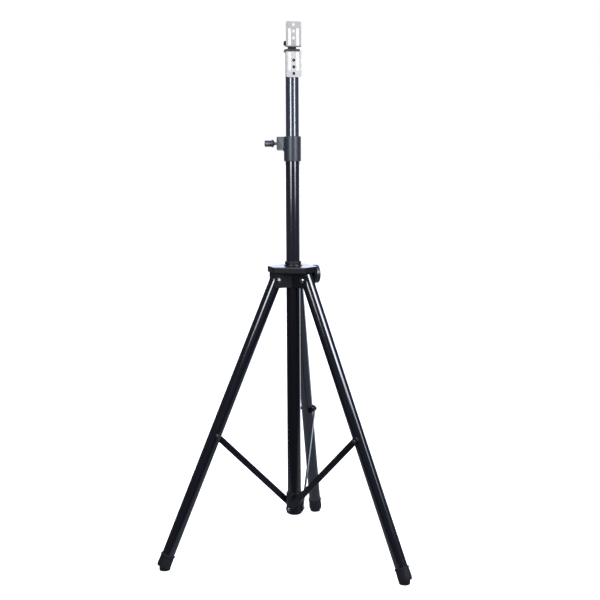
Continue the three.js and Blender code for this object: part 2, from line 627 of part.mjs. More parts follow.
// ---------------------------------------------------------------- assembly
const stand = new THREE.Group();
addPole(stand);
addCollar(stand);
addMast(stand);
addBrackets(stand);
addHub(stand);
addLeg(stand, 'back', Math.PI / 2);
addLeg(stand, 'right', -Math.PI / 6);
addLeg(stand, 'left', 7 * Math.PI / 6);

stand.updateMatrixWorld(true);
const footprint = new THREE.Box3().setFromObject(stand).getCenter(new THREE.Vector3());
stand.position.set(-footprint.x, -footprint.y, 0);

const assembly = new THREE.Group();
assembly.add(stand);
export default assembly;
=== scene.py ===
# %% [markdown]
# # A tripod stand for a loudspeaker
# The imported model gives every piece its size and its place. This lesson keeps those places and builds the
# surface that a person sees: round painted tubes, folded sheet, moulded plastic, plated brackets and rubber.
# We start by loading the frame.

# %% Load the frame
import json
import math

import bmesh
import bpy
from mathutils import Matrix, Vector
from mathutils.geometry import tessellate_polygon

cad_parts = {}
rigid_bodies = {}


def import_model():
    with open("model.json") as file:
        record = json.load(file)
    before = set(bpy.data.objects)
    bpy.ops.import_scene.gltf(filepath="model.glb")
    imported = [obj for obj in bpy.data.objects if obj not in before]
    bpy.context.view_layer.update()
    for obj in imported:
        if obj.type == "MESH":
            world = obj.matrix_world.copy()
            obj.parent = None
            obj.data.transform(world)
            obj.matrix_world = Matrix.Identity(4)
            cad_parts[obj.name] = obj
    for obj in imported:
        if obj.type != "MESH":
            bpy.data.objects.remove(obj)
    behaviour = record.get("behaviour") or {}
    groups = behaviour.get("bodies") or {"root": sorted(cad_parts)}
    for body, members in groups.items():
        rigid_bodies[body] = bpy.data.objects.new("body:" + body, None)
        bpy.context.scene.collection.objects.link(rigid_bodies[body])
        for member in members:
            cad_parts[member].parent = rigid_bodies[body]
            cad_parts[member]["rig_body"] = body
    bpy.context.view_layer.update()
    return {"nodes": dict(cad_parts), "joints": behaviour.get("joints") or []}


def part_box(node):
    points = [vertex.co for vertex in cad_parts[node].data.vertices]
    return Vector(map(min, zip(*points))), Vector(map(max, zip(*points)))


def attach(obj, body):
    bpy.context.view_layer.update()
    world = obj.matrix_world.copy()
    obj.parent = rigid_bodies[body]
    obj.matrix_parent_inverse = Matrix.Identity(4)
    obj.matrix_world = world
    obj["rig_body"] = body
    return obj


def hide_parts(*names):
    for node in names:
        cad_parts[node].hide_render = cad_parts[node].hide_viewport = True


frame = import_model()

nodes = frame["nodes"]
joints = {joint["name"]: joint for joint in frame["joints"]}

# %% [markdown]
# ## Places
# Lengths in this lesson are in millimetres, as on a workshop drawing, and one factor turns them into
# metres. A *place* is a matrix: where a piece's own origin sits and which way its own axes point. Each leg,
# each brace and the tilting head get one, worked out from the joints, so a piece can be drawn upright and
# then put there.

# %% Places from the joints
MM = 0.001
UP = Vector((0, 0, 1))


def place(origin, x_axis, z_axis=UP):
    """A frame at origin with +Z along z_axis and +X as near x_axis as it can be."""
    z = Vector(z_axis).normalized()
    x = Vector(x_axis)
    x = (x - z * x.dot(z)).normalized()
    turn = Matrix((x, z.cross(x), z)).transposed().to_4x4()
    return Matrix.Translation(Vector(origin)) @ turn


def measure(node, where):
    """Lowest and highest corner of a CAD node in millimetres, along the axes of a place."""
    inverse = where.inverted()
    points = [inverse @ vertex.co for vertex in nodes[node].data.vertices]
    low = Vector([min(p[i] for p in points) for i in range(3)]) / MM
    high = Vector([max(p[i] for p in points) for i in range(3)]) / MM
    return low, high


def corners_of(node, where):
    """The vertices of a CAD node in millimetres, along the axes of a place."""
    inverse = where.inverted()
    return [(inverse @ vertex.co) / MM for vertex in nodes[node].data.vertices]


tube_low, tube_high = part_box("main_tube")
pole_x = (tube_low.x + tube_high.x) / 2
pole_y = (tube_low.y + tube_high.y) / 2
pole = Matrix.Translation((pole_x, pole_y, 0))
tilt_axis = Vector(joints["head_tilt"]["axis"])
head = place((pole_x, pole_y, 0), tilt_axis)
tilt_height = joints["head_tilt"]["pos_m"][2] / MM

LEGS = ("back", "right", "left")
radial, leg, brace = {}, {}, {}
for name in LEGS:
    pivot = Vector(joints[f"leg_fold_{name}"]["pos_m"])
    knee = Vector(joints[f"brace_fold_{name}"]["pos_m"])
    outward = Vector((pivot.x - pole_x, pivot.y - pole_y, 0))
    radial[name] = place((pole_x, pole_y, 0), outward)
    leg[name] = place(pivot, outward, pivot - knee)
    bolt_low, bolt_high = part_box(f"brace_low_bolt_{name}")
    foot_of_brace = Vector((pole_x, pole_y, (bolt_low.z + bolt_high.z) / 2))
    along = knee - foot_of_brace
    side = UP.cross(outward).normalized()
    brace[name] = place(foot_of_brace, along, along.cross(side))
    print(name, "leg leans", round(math.degrees((pivot - knee).angle(UP)), 1), "degrees")


def sideways(where, direction, offset=(0, 0, 0)):
    """The same place with +Z turned to point along one of its own axes."""
    axis = where.to_3x3() @ Vector(direction)
    other = where.to_3x3() @ (Vector((0, 0, 1)) if abs(direction[2]) < 0.5 else Vector((1, 0, 0)))
    return place(where @ (Vector(offset) * MM), other, axis)

# %% [markdown]
# ## Camera
# The stand is looked at from a little above half its height, with a long lens, so its verticals stay calm.
# The camera stands ten degrees round from the back leg's line and is aimed and rolled by a fraction of a
# degree.

# %% Camera
CAMERA_ROUND = math.radians(10)
CAMERA_DISTANCE = 2.956
CAMERA_HEIGHT = 1.0827
AIM_RIGHT = math.radians(0.33)
AIM_DOWN = math.radians(7.985)
CAMERA_ROLL = math.radians(-0.28)
CAMERA_LENS = 70.35

behind = Vector((math.sin(CAMERA_ROUND), -math.cos(CAMERA_ROUND), 0))
level_right = UP.cross(behind)
ahead = -behind * math.cos(AIM_RIGHT) + level_right * math.sin(AIM_RIGHT)
right = ahead.cross(UP)
forward = ahead * math.cos(AIM_DOWN) - UP * math.sin(AIM_DOWN)
up = right.cross(forward)
rolled_right = right * math.cos(CAMERA_ROLL) + up * math.sin(CAMERA_ROLL)
rolled_up = up * math.cos(CAMERA_ROLL) - right * math.sin(CAMERA_ROLL)
camera_data = bpy.data.cameras.new("camera")
camera_data.lens = CAMERA_LENS
camera_data.clip_end = 200
camera = bpy.data.objects.new("camera", camera_data)
bpy.context.scene.collection.objects.link(camera)
stand_point = Vector((pole_x, pole_y, CAMERA_HEIGHT)) + behind * CAMERA_DISTANCE
turn = Matrix((rolled_right, rolled_up, -forward)).transposed().to_4x4()
camera.matrix_world = Matrix.Translation(stand_point) @ turn
bpy.context.scene.camera = camera
print("camera at", [round(v, 3) for v in stand_point])

# %% [markdown]
# ## Shader maths
# A procedural finish is arithmetic on noise. Wrapping a node socket in a small class lets that arithmetic
# be written as ordinary expressions, and each operator adds its own Math node behind the scenes.


# %% A socket that can be added, multiplied and mixed
class Shade:
    """One output socket; arithmetic on it adds Math nodes to its tree."""

    def __init__(self, tree, socket):
        self.tree = tree
        self.socket = socket

    def node(self, kind, settings=None, **inputs):
        """Adds any node: its settings first, then the values or links of its sockets."""
        made = self.tree.nodes.new(kind)
        for key, value in (settings or {}).items():
            if key == "stops":
                for element, (spot, color) in zip(made.color_ramp.elements, value):
                    element.position = spot
                    element.color = color
            else:
                setattr(made, key, value)
        for key, value in inputs.items():
            socket = made.inputs[int(key[1:])] if key[0] == "_" else made.inputs[key.replace("_", " ")]
            if isinstance(value, Shade):
                self.tree.links.new(value.socket, socket)
            else:
                socket.default_value = value
        return made

    def out(self, kind, settings=None, output=0, **inputs):
        return Shade(self.tree, self.node(kind, settings, **inputs).outputs[output])

    def maths(self, operation, first, second):
        return self.out("ShaderNodeMath", {"operation": operation}, _0=first, _1=second)

    def __add__(self, other):
        return self.maths("ADD", self, other)

    def __sub__(self, other):
        return self.maths("SUBTRACT", self, other)

    def __rsub__(self, other):
        return self.maths("SUBTRACT", other, self)

    def __mul__(self, other):
        return self.maths("MULTIPLY", self, other)

    __radd__ = __add__
    __rmul__ = __mul__

    def axis(self, number):
        """One coordinate of a vector: 0, 1 or 2 for x, y or z."""
        return self.out("ShaderNodeSeparateXYZ", None, number, _0=self)

    def above(self, low, high):
        """0 below low, 1 above high, and a smooth step between."""
        settings = {"interpolation_type": "SMOOTHSTEP"}
        return self.out("ShaderNodeMapRange", settings, Value=self, From_Min=low, From_Max=high)

    def between(self, first, second):
        """A colour that goes from first to second as this value goes from 0 to 1."""
        settings = {"data_type": "RGBA"}
        return self.out("ShaderNodeMix", settings, 2, _0=self, _6=(*first, 1), _7=(*second, 1))


# %% [markdown]
# Every finish starts the same way: a Principled shader and the object's own coordinates, which are in
# metres. Constant values are written on the shader's sockets. Only what changes over the surface is linked.


# %% Starting a finish
class Finish:
    """A material with one Principled shader."""

    def __init__(self, name, **constants):
        self.material = bpy.data.materials.new(name)
        self.material.use_nodes = True
        tree = self.material.node_tree
        self.shader = tree.nodes["Principled BSDF"]
        self.tree = tree
        for key, value in constants.items():
            self.shader.inputs[key.replace("_", " ")].default_value = value
        self.start = Shade(tree, None)
        self.place = self.start.out("ShaderNodeTexCoord", output=3)

    def noise(self, size, detail=2.0, stretch=(1, 1, 1), rough=0.5):
        """Noise with features of about size metres, stretched along an axis by a factor."""
        scale = [1 / (size * s) for s in stretch]
        spread = self.start.out("ShaderNodeMapping", _0=self.place, _3=scale)
        return self.start.out(
            "ShaderNodeTexNoise", None, 0, Vector=spread, Scale=1.0, Detail=detail, Roughness=rough,
        )

    def drive(self, **links):
        for key, value in links.items():
            self.tree.links.new(value.socket, self.shader.inputs[key.replace("_", " ")])
        return self

    def bump(self, height, strength, distance):
        made = self.start.out("ShaderNodeBump", Strength=strength, Distance=distance, Height=height)
        return self.drive(Normal=made)


# %% [markdown]
# ## Finishes
# The tubes are sprayed in gloss black. Real paint is never a perfect mirror: it has a slight orange-peel
# ripple about a millimetre across, cloudy changes of gloss, and fine rubbed lines along the tube where the
# sliding parts pass. All three come from noise at the right scale. The mast gets a lighter, bluer copy of the
# same paint: painted light for the brighter surroundings it reflects.


# %% Gloss black paint
def gloss_paint(name, dark, light):
    finish = Finish(name, IOR=1.75)
    cloud = finish.noise(0.05, 3)
    peel = finish.noise(0.0016, 1)
    rubs = finish.noise(0.0012, 2, (1, 1, 60))
    dust = finish.noise(0.012, 4).above(0.56, 0.8)
    finish.drive(
        Base_Color=(cloud * 0.7 + dust * 0.3).between(dark, light),
        Roughness=0.11 + cloud * 0.05 + rubs.above(0.5, 0.75) * 0.04 + dust * 0.04,
    )
    finish.bump(peel * 0.6 + rubs * 0.15, 0.02, 0.0003)
    return finish.material


tube_paint = gloss_paint("gloss_black_paint", (0.0028, 0.0027, 0.0050), (0.0058, 0.0056, 0.0105))
# The mast's copy is lighter than the tube's: painted light, not a different paint.
mast_paint_lit_copy = gloss_paint("gloss_black_paint_lit_copy", (0.0190, 0.0235, 0.0370), (0.0280, 0.0345, 0.0530))

# %% [markdown]
# Pressed and flat parts are powder coated. The powder leaves a fine even grain and a soft sheen, with less
# gloss where it is thick. The grain is under a millimetre, so it is bump, not shape.


# %% Satin black powder coat
def powder_coat():
    finish = Finish("satin_black_powder", IOR=1.5)
    cloud = finish.noise(0.03, 3)
    grain = finish.noise(0.0007, 2)
    scuff = finish.noise(0.02, 5, (1, 1, 3), 0.7).above(0.6, 0.72)
    finish.drive(
        Base_Color=(cloud * 0.8 + scuff * 0.2).between((0.0020, 0.0019, 0.0032), (0.0050, 0.0048, 0.0076)),
        Roughness=0.25 + cloud * 0.1 + scuff * 0.08,
    )
    finish.bump(grain, 0.1, 0.0002)
    return finish.material


powder = powder_coat()

# %% [markdown]
# The collar is a dark blue-grey moulding with a spark-eroded texture, which spreads a highlight into a soft
# band. Knobs are the same kind of plastic with a polished mould, and the feet are a dull rubber that holds
# pale dust in its low places.


# %% Moulded plastics and rubber
def textured_plastic(name, dark, light):
    finish = Finish(name, IOR=1.46)
    cloud = finish.noise(0.02, 3)
    texture = finish.noise(0.0009, 3)
    finish.drive(
        Base_Color=cloud.between(dark, light),
        Roughness=0.30 + cloud * 0.1 + texture * 0.06,
    )
    finish.bump(texture, 0.3, 0.0003)
    return finish.material


def polished_plastic():
    finish = Finish("knob_plastic", IOR=1.48)
    cloud = finish.noise(0.012, 3)
    scratches = finish.noise(0.0009, 2, (12, 1, 1)).above(0.55, 0.8)
    finish.drive(
        Base_Color=cloud.between((0.012, 0.016, 0.027), (0.024, 0.030, 0.046)),
        Roughness=0.3 + cloud * 0.08 + scratches * 0.1,
    )
    finish.bump(finish.noise(0.003, 2), 0.06, 0.0003)
    return finish.material


def dull_rubber():
    finish = Finish("black_rubber", IOR=1.45)
    cloud = finish.noise(0.01, 4)
    pores = finish.noise(0.0008, 3)
    dust = finish.noise(0.006, 5, (1, 1, 1), 0.7).above(0.52, 0.78)
    finish.drive(
        Base_Color=(cloud * 0.4 + dust * 0.6).between((0.0030, 0.0031, 0.0046), (0.0105, 0.0110, 0.0150)),
        Roughness=0.55 + dust * 0.25 + cloud * 0.08,
    )
    finish.bump(pores + cloud * 0.5, 0.3, 0.0004)
    return finish.material


plastic = textured_plastic("grey_black_plastic", (0.014, 0.017, 0.024), (0.023, 0.028, 0.038))
bush_plastic = textured_plastic("bush_plastic", (0.005, 0.0055, 0.008), (0.010, 0.011, 0.015))
knob_gloss = polished_plastic()
rubber = dull_rubber()

# %% [markdown]
# The angle brackets are zinc plated: a pale, slightly cloudy metal with fine rolling lines along the strip.
# Screws and nuts are brighter and smoother. Metal takes its colour from what it reflects, so Metallic is
# high and the colour is the tint of the reflection.


# %% Zinc plate and bright fasteners
def zinc_plate(name, light, dark):
    light_tint = (light * 1.04, light, light * 0.98)
    dark_tint = (dark * 1.04, dark, dark * 0.98)
    finish = Finish(name)
    cloud = finish.noise(0.012, 4)
    lines = finish.noise(0.0006, 2, (1, 1, 40))
    stain = finish.noise(0.007, 5, (1, 1, 2), 0.65).above(0.58, 0.75)
    finish.drive(
        Base_Color=(cloud * 0.6 + stain * 0.4).between(light_tint, dark_tint),
        Roughness=0.42 + cloud * 0.12 + lines * 0.08,
        Metallic=0.45 - stain * 0.15,
    )
    finish.bump(lines * 0.5 + cloud * 0.5, 0.12, 0.0002)
    return finish.material


def bright_steel():
    finish = Finish("bright_steel", Metallic=1.0)
    cloud = finish.noise(0.006, 3)
    lines = finish.noise(0.0005, 2, (1, 8, 1))
    finish.drive(
        Base_Color=cloud.between((0.24, 0.23, 0.23), (0.42, 0.40, 0.39)),
        Roughness=0.22 + cloud * 0.12 + lines * 0.08,
    )
    finish.bump(lines, 0.08, 0.0002)
    return finish.material


def black_steel():
    finish = Finish("blackened_steel", Metallic=0.6)
    cloud = finish.noise(0.005, 3)
    finish.drive(
        Base_Color=cloud.between((0.03, 0.03, 0.034), (0.08, 0.078, 0.08)),
        Roughness=0.26 + cloud * 0.14,
    )
    finish.bump(finish.noise(0.0008, 2), 0.1, 0.0002)
    return finish.material


zinc = zinc_plate("zinc_plate_lower", 0.31, 0.26)
# The upper bracket takes a darker copy of the same zinc: painted shade.
zinc_painted_shade = zinc_plate("zinc_plate_upper_painted_shade", 0.24, 0.19)
rivet_zinc = zinc_plate("zinc_plate_rivet", 0.24, 0.19)
# The groove floors' brighter zinc is a painted highlight.
groove_painted_highlight = zinc_plate("zinc_plate_groove_painted_highlight", 0.50, 0.42)
steel = bright_steel()
dark_steel = black_steel()
print("finishes:", [m.name for m in bpy.data.materials])

# %% [markdown]
# ## Mesh helpers
# Almost everything on a stand is turned, or cut from sheet. So two makers cover most of it: one spins a
# profile round an axis, the other pushes an outline into a slab. Real corners are never sharp, so both are
# fed outlines whose corners have been rounded into short arcs.


# %% Rounding the corners of an outline
def rounded(points, radii, closed=True, steps=4):
    """The outline with each corner turned into an arc; radii is one number or one for each point."""
    count = len(points)
    if isinstance(radii, (int, float)):
        radii = [radii] * count
    made = []
    for i, point in enumerate(points):
        corner = Vector(point)
        if radii[i] <= 0 or (not closed and i in (0, count - 1)):
            made.append(tuple(corner))
            continue
        to_last = Vector(points[i - 1]) - corner
        to_next = Vector(points[(i + 1) % count]) - corner
        half = to_last.angle(to_next) / 2
        if half > math.radians(88) or half < math.radians(2):
            made.append(tuple(corner))
            continue
        reach = min(radii[i] / math.tan(half), 0.48 * to_last.length, 0.48 * to_next.length)
        radius = reach * math.tan(half)
        halfway = (to_last.normalized() + to_next.normalized()).normalized()
        middle = corner + halfway * (radius / math.sin(half))
        start = corner + to_last.normalized() * reach - middle
        stop = corner + to_next.normalized() * reach - middle
        sweep = start.angle_signed(stop)
        for step in range(steps + 1):
            spoke = start.copy()
            spoke.rotate(Matrix.Rotation(-sweep * step / steps, 2))
            made.append(tuple(middle + spoke))
    return made


# %% [markdown]
# `turned` spins a list of (radius, height) points. A list that starts and ends on the axis makes a solid,
# and any other list closes on itself and makes a ring. Smooth shading with sharp edges marked by angle
# keeps a round wall round and its ends crisp.


# %% Turned pieces
def new_piece(name, bm, where):
    """A smooth-shaded object whose mesh is in millimetres; its matrix holds the place and the scale."""
    bmesh.ops.remove_doubles(bm, verts=bm.verts, dist=1e-4)
    bmesh.ops.recalc_face_normals(bm, faces=bm.faces)
    mesh = bpy.data.meshes.new(name)
    bm.to_mesh(mesh)
    bm.free()
    shade(mesh)
    piece = bpy.data.objects.new(name, mesh)
    bpy.context.scene.collection.objects.link(piece)
    piece.matrix_world = where @ Matrix.Scale(MM, 4)
    return piece


def shade(mesh, angle=32):
    mesh.polygons.foreach_set("use_smooth", [True] * len(mesh.polygons))
    mesh.set_sharp_from_angle(angle=math.radians(angle))


def turned(name, profile, where, sides=64):
    bm = bmesh.new()
    solid = profile[0][0] == 0 and profile[-1][0] == 0
    rings = []
    for radius, height in profile:
        if radius == 0:
            rings.append([bm.verts.new((0, 0, height))])
            continue
        spokes = [2 * math.pi * i / sides for i in range(sides)]
        rings.append([bm.verts.new((radius * math.cos(a), radius * math.sin(a), height)) for a in spokes])
    pairs = list(zip(rings, rings[1:]))
    if not solid:
        pairs.append((rings[-1], rings[0]))
    for low, high in pairs:
        for i in range(sides):
            j = (i + 1) % sides
            corners = [low[i % len(low)], low[j % len(low)], high[j % len(high)], high[i % len(high)]]
            unique = list(dict.fromkeys(corners))
            if len(unique) > 2:
                bm.faces.new(unique)
    return new_piece(name, bm, where)


# %% [markdown]
# `slab` pushes an outline from one height to another, and `cut`, `weld` and `ease` are the drill, the
# welder and the file: a boolean difference, a boolean union, and a bevel along every edge that is sharp
# enough.


# %% Slabs, cuts, welds and eased edges
def slab(name, outline, low, high, where):
    bm = bmesh.new()
    bottom = [bm.verts.new((x, y, low)) for x, y in outline]
    top = [bm.verts.new((x, y, high)) for x, y in outline]
    flat = [Vector((x, y, 0)) for x, y in outline]
    for a, b, c in tessellate_polygon([flat]):
        bm.faces.new((bottom[a], bottom[b], bottom[c]))
        bm.faces.new((top[c], top[b], top[a]))
    for i in range(len(outline)):
        j = (i + 1) % len(outline)
        bm.faces.new((bottom[i], bottom[j], top[j], top[i]))
    bmesh.ops.dissolve_limit(bm, angle_limit=0.001, verts=bm.verts, edges=bm.edges)
    return new_piece(name, bm, where)


def settle(piece):
    """Applies a piece's modifiers to its mesh."""
    bpy.context.view_layer.update()
    graph = bpy.context.evaluated_depsgraph_get()
    made = bpy.data.meshes.new_from_object(piece.evaluated_get(graph))
    old = piece.data
    piece.modifiers.clear()
    piece.data = made
    made.name = piece.name
    bpy.data.meshes.remove(old)
    return piece


def combine(piece, tools, operation):
    for tool in tools:
        modifier = piece.modifiers.new("combine", "BOOLEAN")
        modifier.operation = operation
        modifier.solver = "EXACT"
        modifier.object = tool
    settle(piece)
    for tool in tools:
        bpy.data.objects.remove(tool)
    shade(piece.data)
    return piece


def cut(piece, *tools):
    return combine(piece, tools, "DIFFERENCE")


def weld(piece, *others):
    return combine(piece, others, "UNION")


def ease(piece, width, steps=2, angle=40):
    modifier = piece.modifiers.new("ease", "BEVEL")
    modifier.width = width
    modifier.segments = steps
    modifier.limit_method = "ANGLE"
    modifier.angle_limit = math.radians(angle)
    modifier.harden_normals = True
    settle(piece)
    return piece


def drill(radius, low, high, where, sides=32):
    return turned("drill", [(0, low), (radius, low), (radius, high), (0, high)], where, sides)


def circle(radius, x=0, y=0, steps=24, start=0.0, stop=2 * math.pi):
    """Points on an arc; a full circle leaves out its repeated last point."""
    full = abs(stop - start - 2 * math.pi) < 1e-9
    count = steps if full else steps + 1
    angles = [start + (stop - start) * i / steps for i in range(count)]
    return [(x + radius * math.cos(a), y + radius * math.sin(a)) for a in angles]


def fan(steps, start=0.0, stop=math.pi / 2):
    """Evenly spaced angles, both ends included."""
    return [start + (stop - start) * k / steps for k in range(steps + 1)]


def band(bore, outer, low, high):
    """The four corners of a ring's section."""
    return [(bore, low), (outer, low), (outer, high), (bore, high)]


def oblong(x0, x1, y0, y1):
    return [(x0, y0), (x1, y0), (x1, y1), (x0, y1)]


# %% [markdown]
# Each finished piece rides on its CAD node's body, takes the node's place in the picture and gets its finish.
# Normals are weighted by the area of the faces round them, so a long tube wall reflects straight lines right
# up to its rounded ends.

# %% Fitting a piece to the frame
fitted = []


def fit(piece, node, material, *others):
    even = piece.modifiers.new("even normals", "WEIGHTED_NORMAL")
    even.keep_sharp = True
    settle(piece)
    piece.name = node + "_finished"
    piece.data.transform(piece.matrix_world)
    piece.matrix_world = Matrix.Identity(4)
    piece.data.materials.clear()
    for one in (material, *others):
        piece.data.materials.append(one)
    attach(piece, nodes[node]["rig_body"])
    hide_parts(node)
    fitted.append(piece)
    return piece


# %% [markdown]
# ## Tubes
# A tube is a turned ring with a tiny radius on its cut ends. The legs are also drilled for their two bolts,
# and near each foot the tube is punched with four small dimples that keep the rubber's plug from sliding.

# %% Main tube, mast and legs
TUBE_WALL = 1.2
TUBE_SIDES = 96
GUIDE_BORE = tube_high.x / MM - pole_x / MM + 0.3


def tube(node, where):
    low, high = measure(node, where)
    outer = high.x
    profile = rounded(band(outer - TUBE_WALL, outer, low.z, high.z), 0.35, steps=2)
    return turned(node, profile, where, TUBE_SIDES)


def knee_height(name):
    """Where the brace's bolt crosses a leg, along the leg's own axis."""
    low, high = measure(f"brace_bolt_{name}", leg[name])
    return (low.z + high.z) / 2


fit(tube("main_tube", pole), "main_tube", tube_paint)
fit(tube("mast_tube", pole), "mast_tube", mast_paint_lit_copy)

BRACE_BOLT = 3
LEG_BOLT = 4
BOLT_ROOM = 0.3
BRACE_BORE = BRACE_BOLT + BOLT_ROOM
LEG_BORE = LEG_BOLT + BOLT_ROOM
DIMPLE_UP_FROM_FOOT = 9
PUNCH_RADIUS = 1.9
for name in LEGS:
    node = f"leg_tube_{name}"
    low, high = measure(node, leg[name])
    across = sideways(leg[name], (0, 1, 0))
    across_knee = sideways(leg[name], (0, 1, 0), (0, 0, knee_height(name)))
    tools = [drill(LEG_BORE, -25, 25, across), drill(BRACE_BORE, -25, 25, across_knee)]
    foot_top = measure(f"foot_{name}", leg[name])[1].z
    for quarter in range(4):
        spoke = math.radians(90 * quarter + 20)
        reach = high.y + 1.0
        spot = (reach * math.cos(spoke), reach * math.sin(spoke), foot_top + DIMPLE_UP_FROM_FOOT)
        ball = [(PUNCH_RADIUS * math.sin(a), -PUNCH_RADIUS * math.cos(a)) for a in fan(8, 0, math.pi)]
        ball[0], ball[-1] = (0, -PUNCH_RADIUS), (0, PUNCH_RADIUS)
        tools.append(turned("punch", ball, leg[name] @ Matrix.Translation(Vector(spot) * MM), 16))
    piece = cut(tube(node, leg[name]), *tools)
    fit(piece, node, tube_paint)
    print(node, "length", round(high.z - low.z, 1), "mm")

# %% [markdown]
# ## Feet
# Each foot is a rubber cup on the end of the tube with a thick rolled lip. Its flat sole is a short upright
# plug, so that it meets the floor squarely although the leg leans. The two are drawn apart and welded.

# %% Rubber feet
SOLE_RADIUS = 14
LIP_HEIGHT = 4


def foot(name):
    node = f"foot_{name}"
    outer = measure(node, leg[name])[1].y
    tube_low, tube_high = measure(f"leg_tube_{name}", leg[name])
    bore = tube_high.y + 0.1
    base = tube_low.z - 4
    top = base + 34
    profile = rounded([
        (0, base), (outer - 1.2, base), (outer - 0.6, base + 8), (outer - 1.1, top - LIP_HEIGHT - 1),
        (outer, top - LIP_HEIGHT), (outer, top), (bore, top), (bore, tube_low.z - 0.2), (0, tube_low.z - 0.2),
    ], [0, 2.5, 6, 0.6, 0.8, 1.2, 0.5, 0.3, 0], closed=False)
    cup = turned(node, profile, leg[name], 64)
    ground = [v.co for v in nodes[node].data.vertices if v.co.z < 0.0001]
    inverse = radial[name].inverted()
    centre = sum((inverse @ point).x for point in ground) / len(ground) / MM
    sole_place = radial[name] @ Matrix.Translation((centre * MM, 0, 0))
    sole = turned("sole", rounded([
        (0, 0), (SOLE_RADIUS, 0), (SOLE_RADIUS, 12.6), (0, 12.6),
    ], [0, 1.4, 0.4, 0], closed=False), sole_place, 56)
    joined = weld(cup, sole)
    return cut(joined, drill(bore + 0.05, tube_low.z - 0.3, top + 3, leg[name], 72))


for name in LEGS:
    fit(foot(name), f"foot_{name}", rubber)
print("feet done")

# %% [markdown]
# ## Bolts and nuts
# The pivots are held by button-headed bolts with a cross in the head, and by domed nuts with six flats.
# Both are drawn along +Z from the height at which they seat.


# %% Button bolts and domed nuts
def button_bolt(node, where, shank, head_height, head_radius):
    low, high = measure(node, where)
    seat = high.z - head_height
    rim = 0.6
    dome = [(head_radius * math.cos(a), seat + rim + (head_height - rim) * math.sin(a)) for a in fan(8)[:-1]]
    profile = [(0, low.z), (shank - 0.5, low.z), (shank, low.z + 0.5), (shank, seat), (head_radius, seat)]
    bolt = turned(node, profile + dome + [(0, high.z)], where, 40)
    depth = high.z - head_height * 0.45
    arm = head_radius * 0.5
    cross = slab("cross", oblong(-arm, arm, -0.55, 0.55), depth, high.z + 1, where)
    other = slab("cross", oblong(-0.52, 0.52, -arm, arm), depth + 0.05, high.z + 1.3, where)
    return cut(bolt, cross, other)


def domed_nut(node, where, bore, flat_height):
    low, high = measure(node, where)
    radius = high.y
    hexagon = slab(node, circle(radius, steps=6), low.z, low.z + flat_height, where)
    ease(hexagon, 0.35)
    dome_radius = radius * 0.8
    rise = high.z - low.z - flat_height
    curve = [(dome_radius * math.cos(a), low.z + flat_height + rise * math.sin(a)) for a in fan(8)[:-1]]
    start = low.z + 0.5
    dome = turned("dome", [(0, start), (dome_radius, start)] + curve + [(0, high.z)], where, 32)
    return cut(weld(hexagon, dome), drill(bore, low.z - 1, high.z - 2, where))


for name in LEGS:
    knee = (0, 0, knee_height(name))
    at_pivot = sideways(leg[name], (0, -1, 0))
    behind_pivot = sideways(leg[name], (0, 1, 0))
    at_knee = sideways(leg[name], (0, -1, 0), knee)
    behind_knee = sideways(leg[name], (0, 1, 0), knee)
    at_foot = sideways(brace[name], (0, -1, 0))
    fit(button_bolt(f"leg_bolt_{name}", at_pivot, LEG_BOLT, 4, 6.5), f"leg_bolt_{name}", steel)
    fit(domed_nut(f"leg_nut_{name}", behind_pivot, LEG_BORE, 3), f"leg_nut_{name}", steel)
    fit(button_bolt(f"brace_bolt_{name}", at_knee, BRACE_BOLT, 3.4, 5), f"brace_bolt_{name}", dark_steel)
    fit(domed_nut(f"brace_nut_{name}", behind_knee, BRACE_BORE, 2.6), f"brace_nut_{name}", dark_steel)
    fit(button_bolt(f"brace_low_bolt_{name}", at_foot, BRACE_BOLT, 3.4, 5), f"brace_low_bolt_{name}", steel)
print("bolts and nuts done")

# %% [markdown]
# ## Braces
# A brace is a flat bar cropped from strip, with a round end over the leg bolt and a wider eye where it
# turns on the pole. Its cropped edges are tumbled smooth, so they catch a thin line of light along their
# whole length.

# %% Flat braces and their spacers
BRACE_HALF_WIDTH = 8
BRACE_EYE = 10


def flat_brace(name):
    node = f"brace_{name}"
    low, high = measure(node, brace[name])
    front = place(brace[name].translation, brace[name].to_3x3().col[0], -brace[name].to_3x3().col[1])
    length = high.x - BRACE_HALF_WIDTH
    shoulder = math.asin(BRACE_HALF_WIDTH / BRACE_EYE)
    eye = circle(BRACE_EYE, steps=28, start=shoulder, stop=2 * math.pi - shoulder)
    tip = circle(BRACE_HALF_WIDTH, length, 0, 18, -math.pi / 2, math.pi / 2)
    bar = slab(node, eye + tip, -high.y, -low.y, front)
    ease(bar, 0.6, 2, 50)
    tools = [drill(BRACE_BORE, -high.y - 2, -low.y + 2, front)]
    away = front @ Matrix.Translation((length * MM, 0, 0))
    tools.append(drill(BRACE_BORE, -high.y - 2, -low.y + 2, away))
    return cut(bar, *tools)


def saddle(name):
    node = f"brace_spacer_{name}"
    knee = knee_height(name)
    across = sideways(leg[name], (0, -1, 0), (0, 0, knee))
    low, high = measure(node, across)
    ring = turned(node, rounded(band(BRACE_BORE, high.x, low.z - 2, high.z), [0, 0, 1.2, 0.3]), across, 48)
    tube_radius = measure(f"leg_tube_{name}", leg[name])[1].y
    return cut(ring, drill(tube_radius + BOLT_ROOM, knee - 20, knee + 20, leg[name], 96))


for name in LEGS:
    fit(flat_brace(name), f"brace_{name}", powder)
    fit(saddle(name), f"brace_spacer_{name}", powder)
print("braces done")

# %% [markdown]
# The braces meet on a thick sleeve round the foot of the pole. It is turned, and a flat is milled for each
# brace. A rounded cap closes the tube below it.

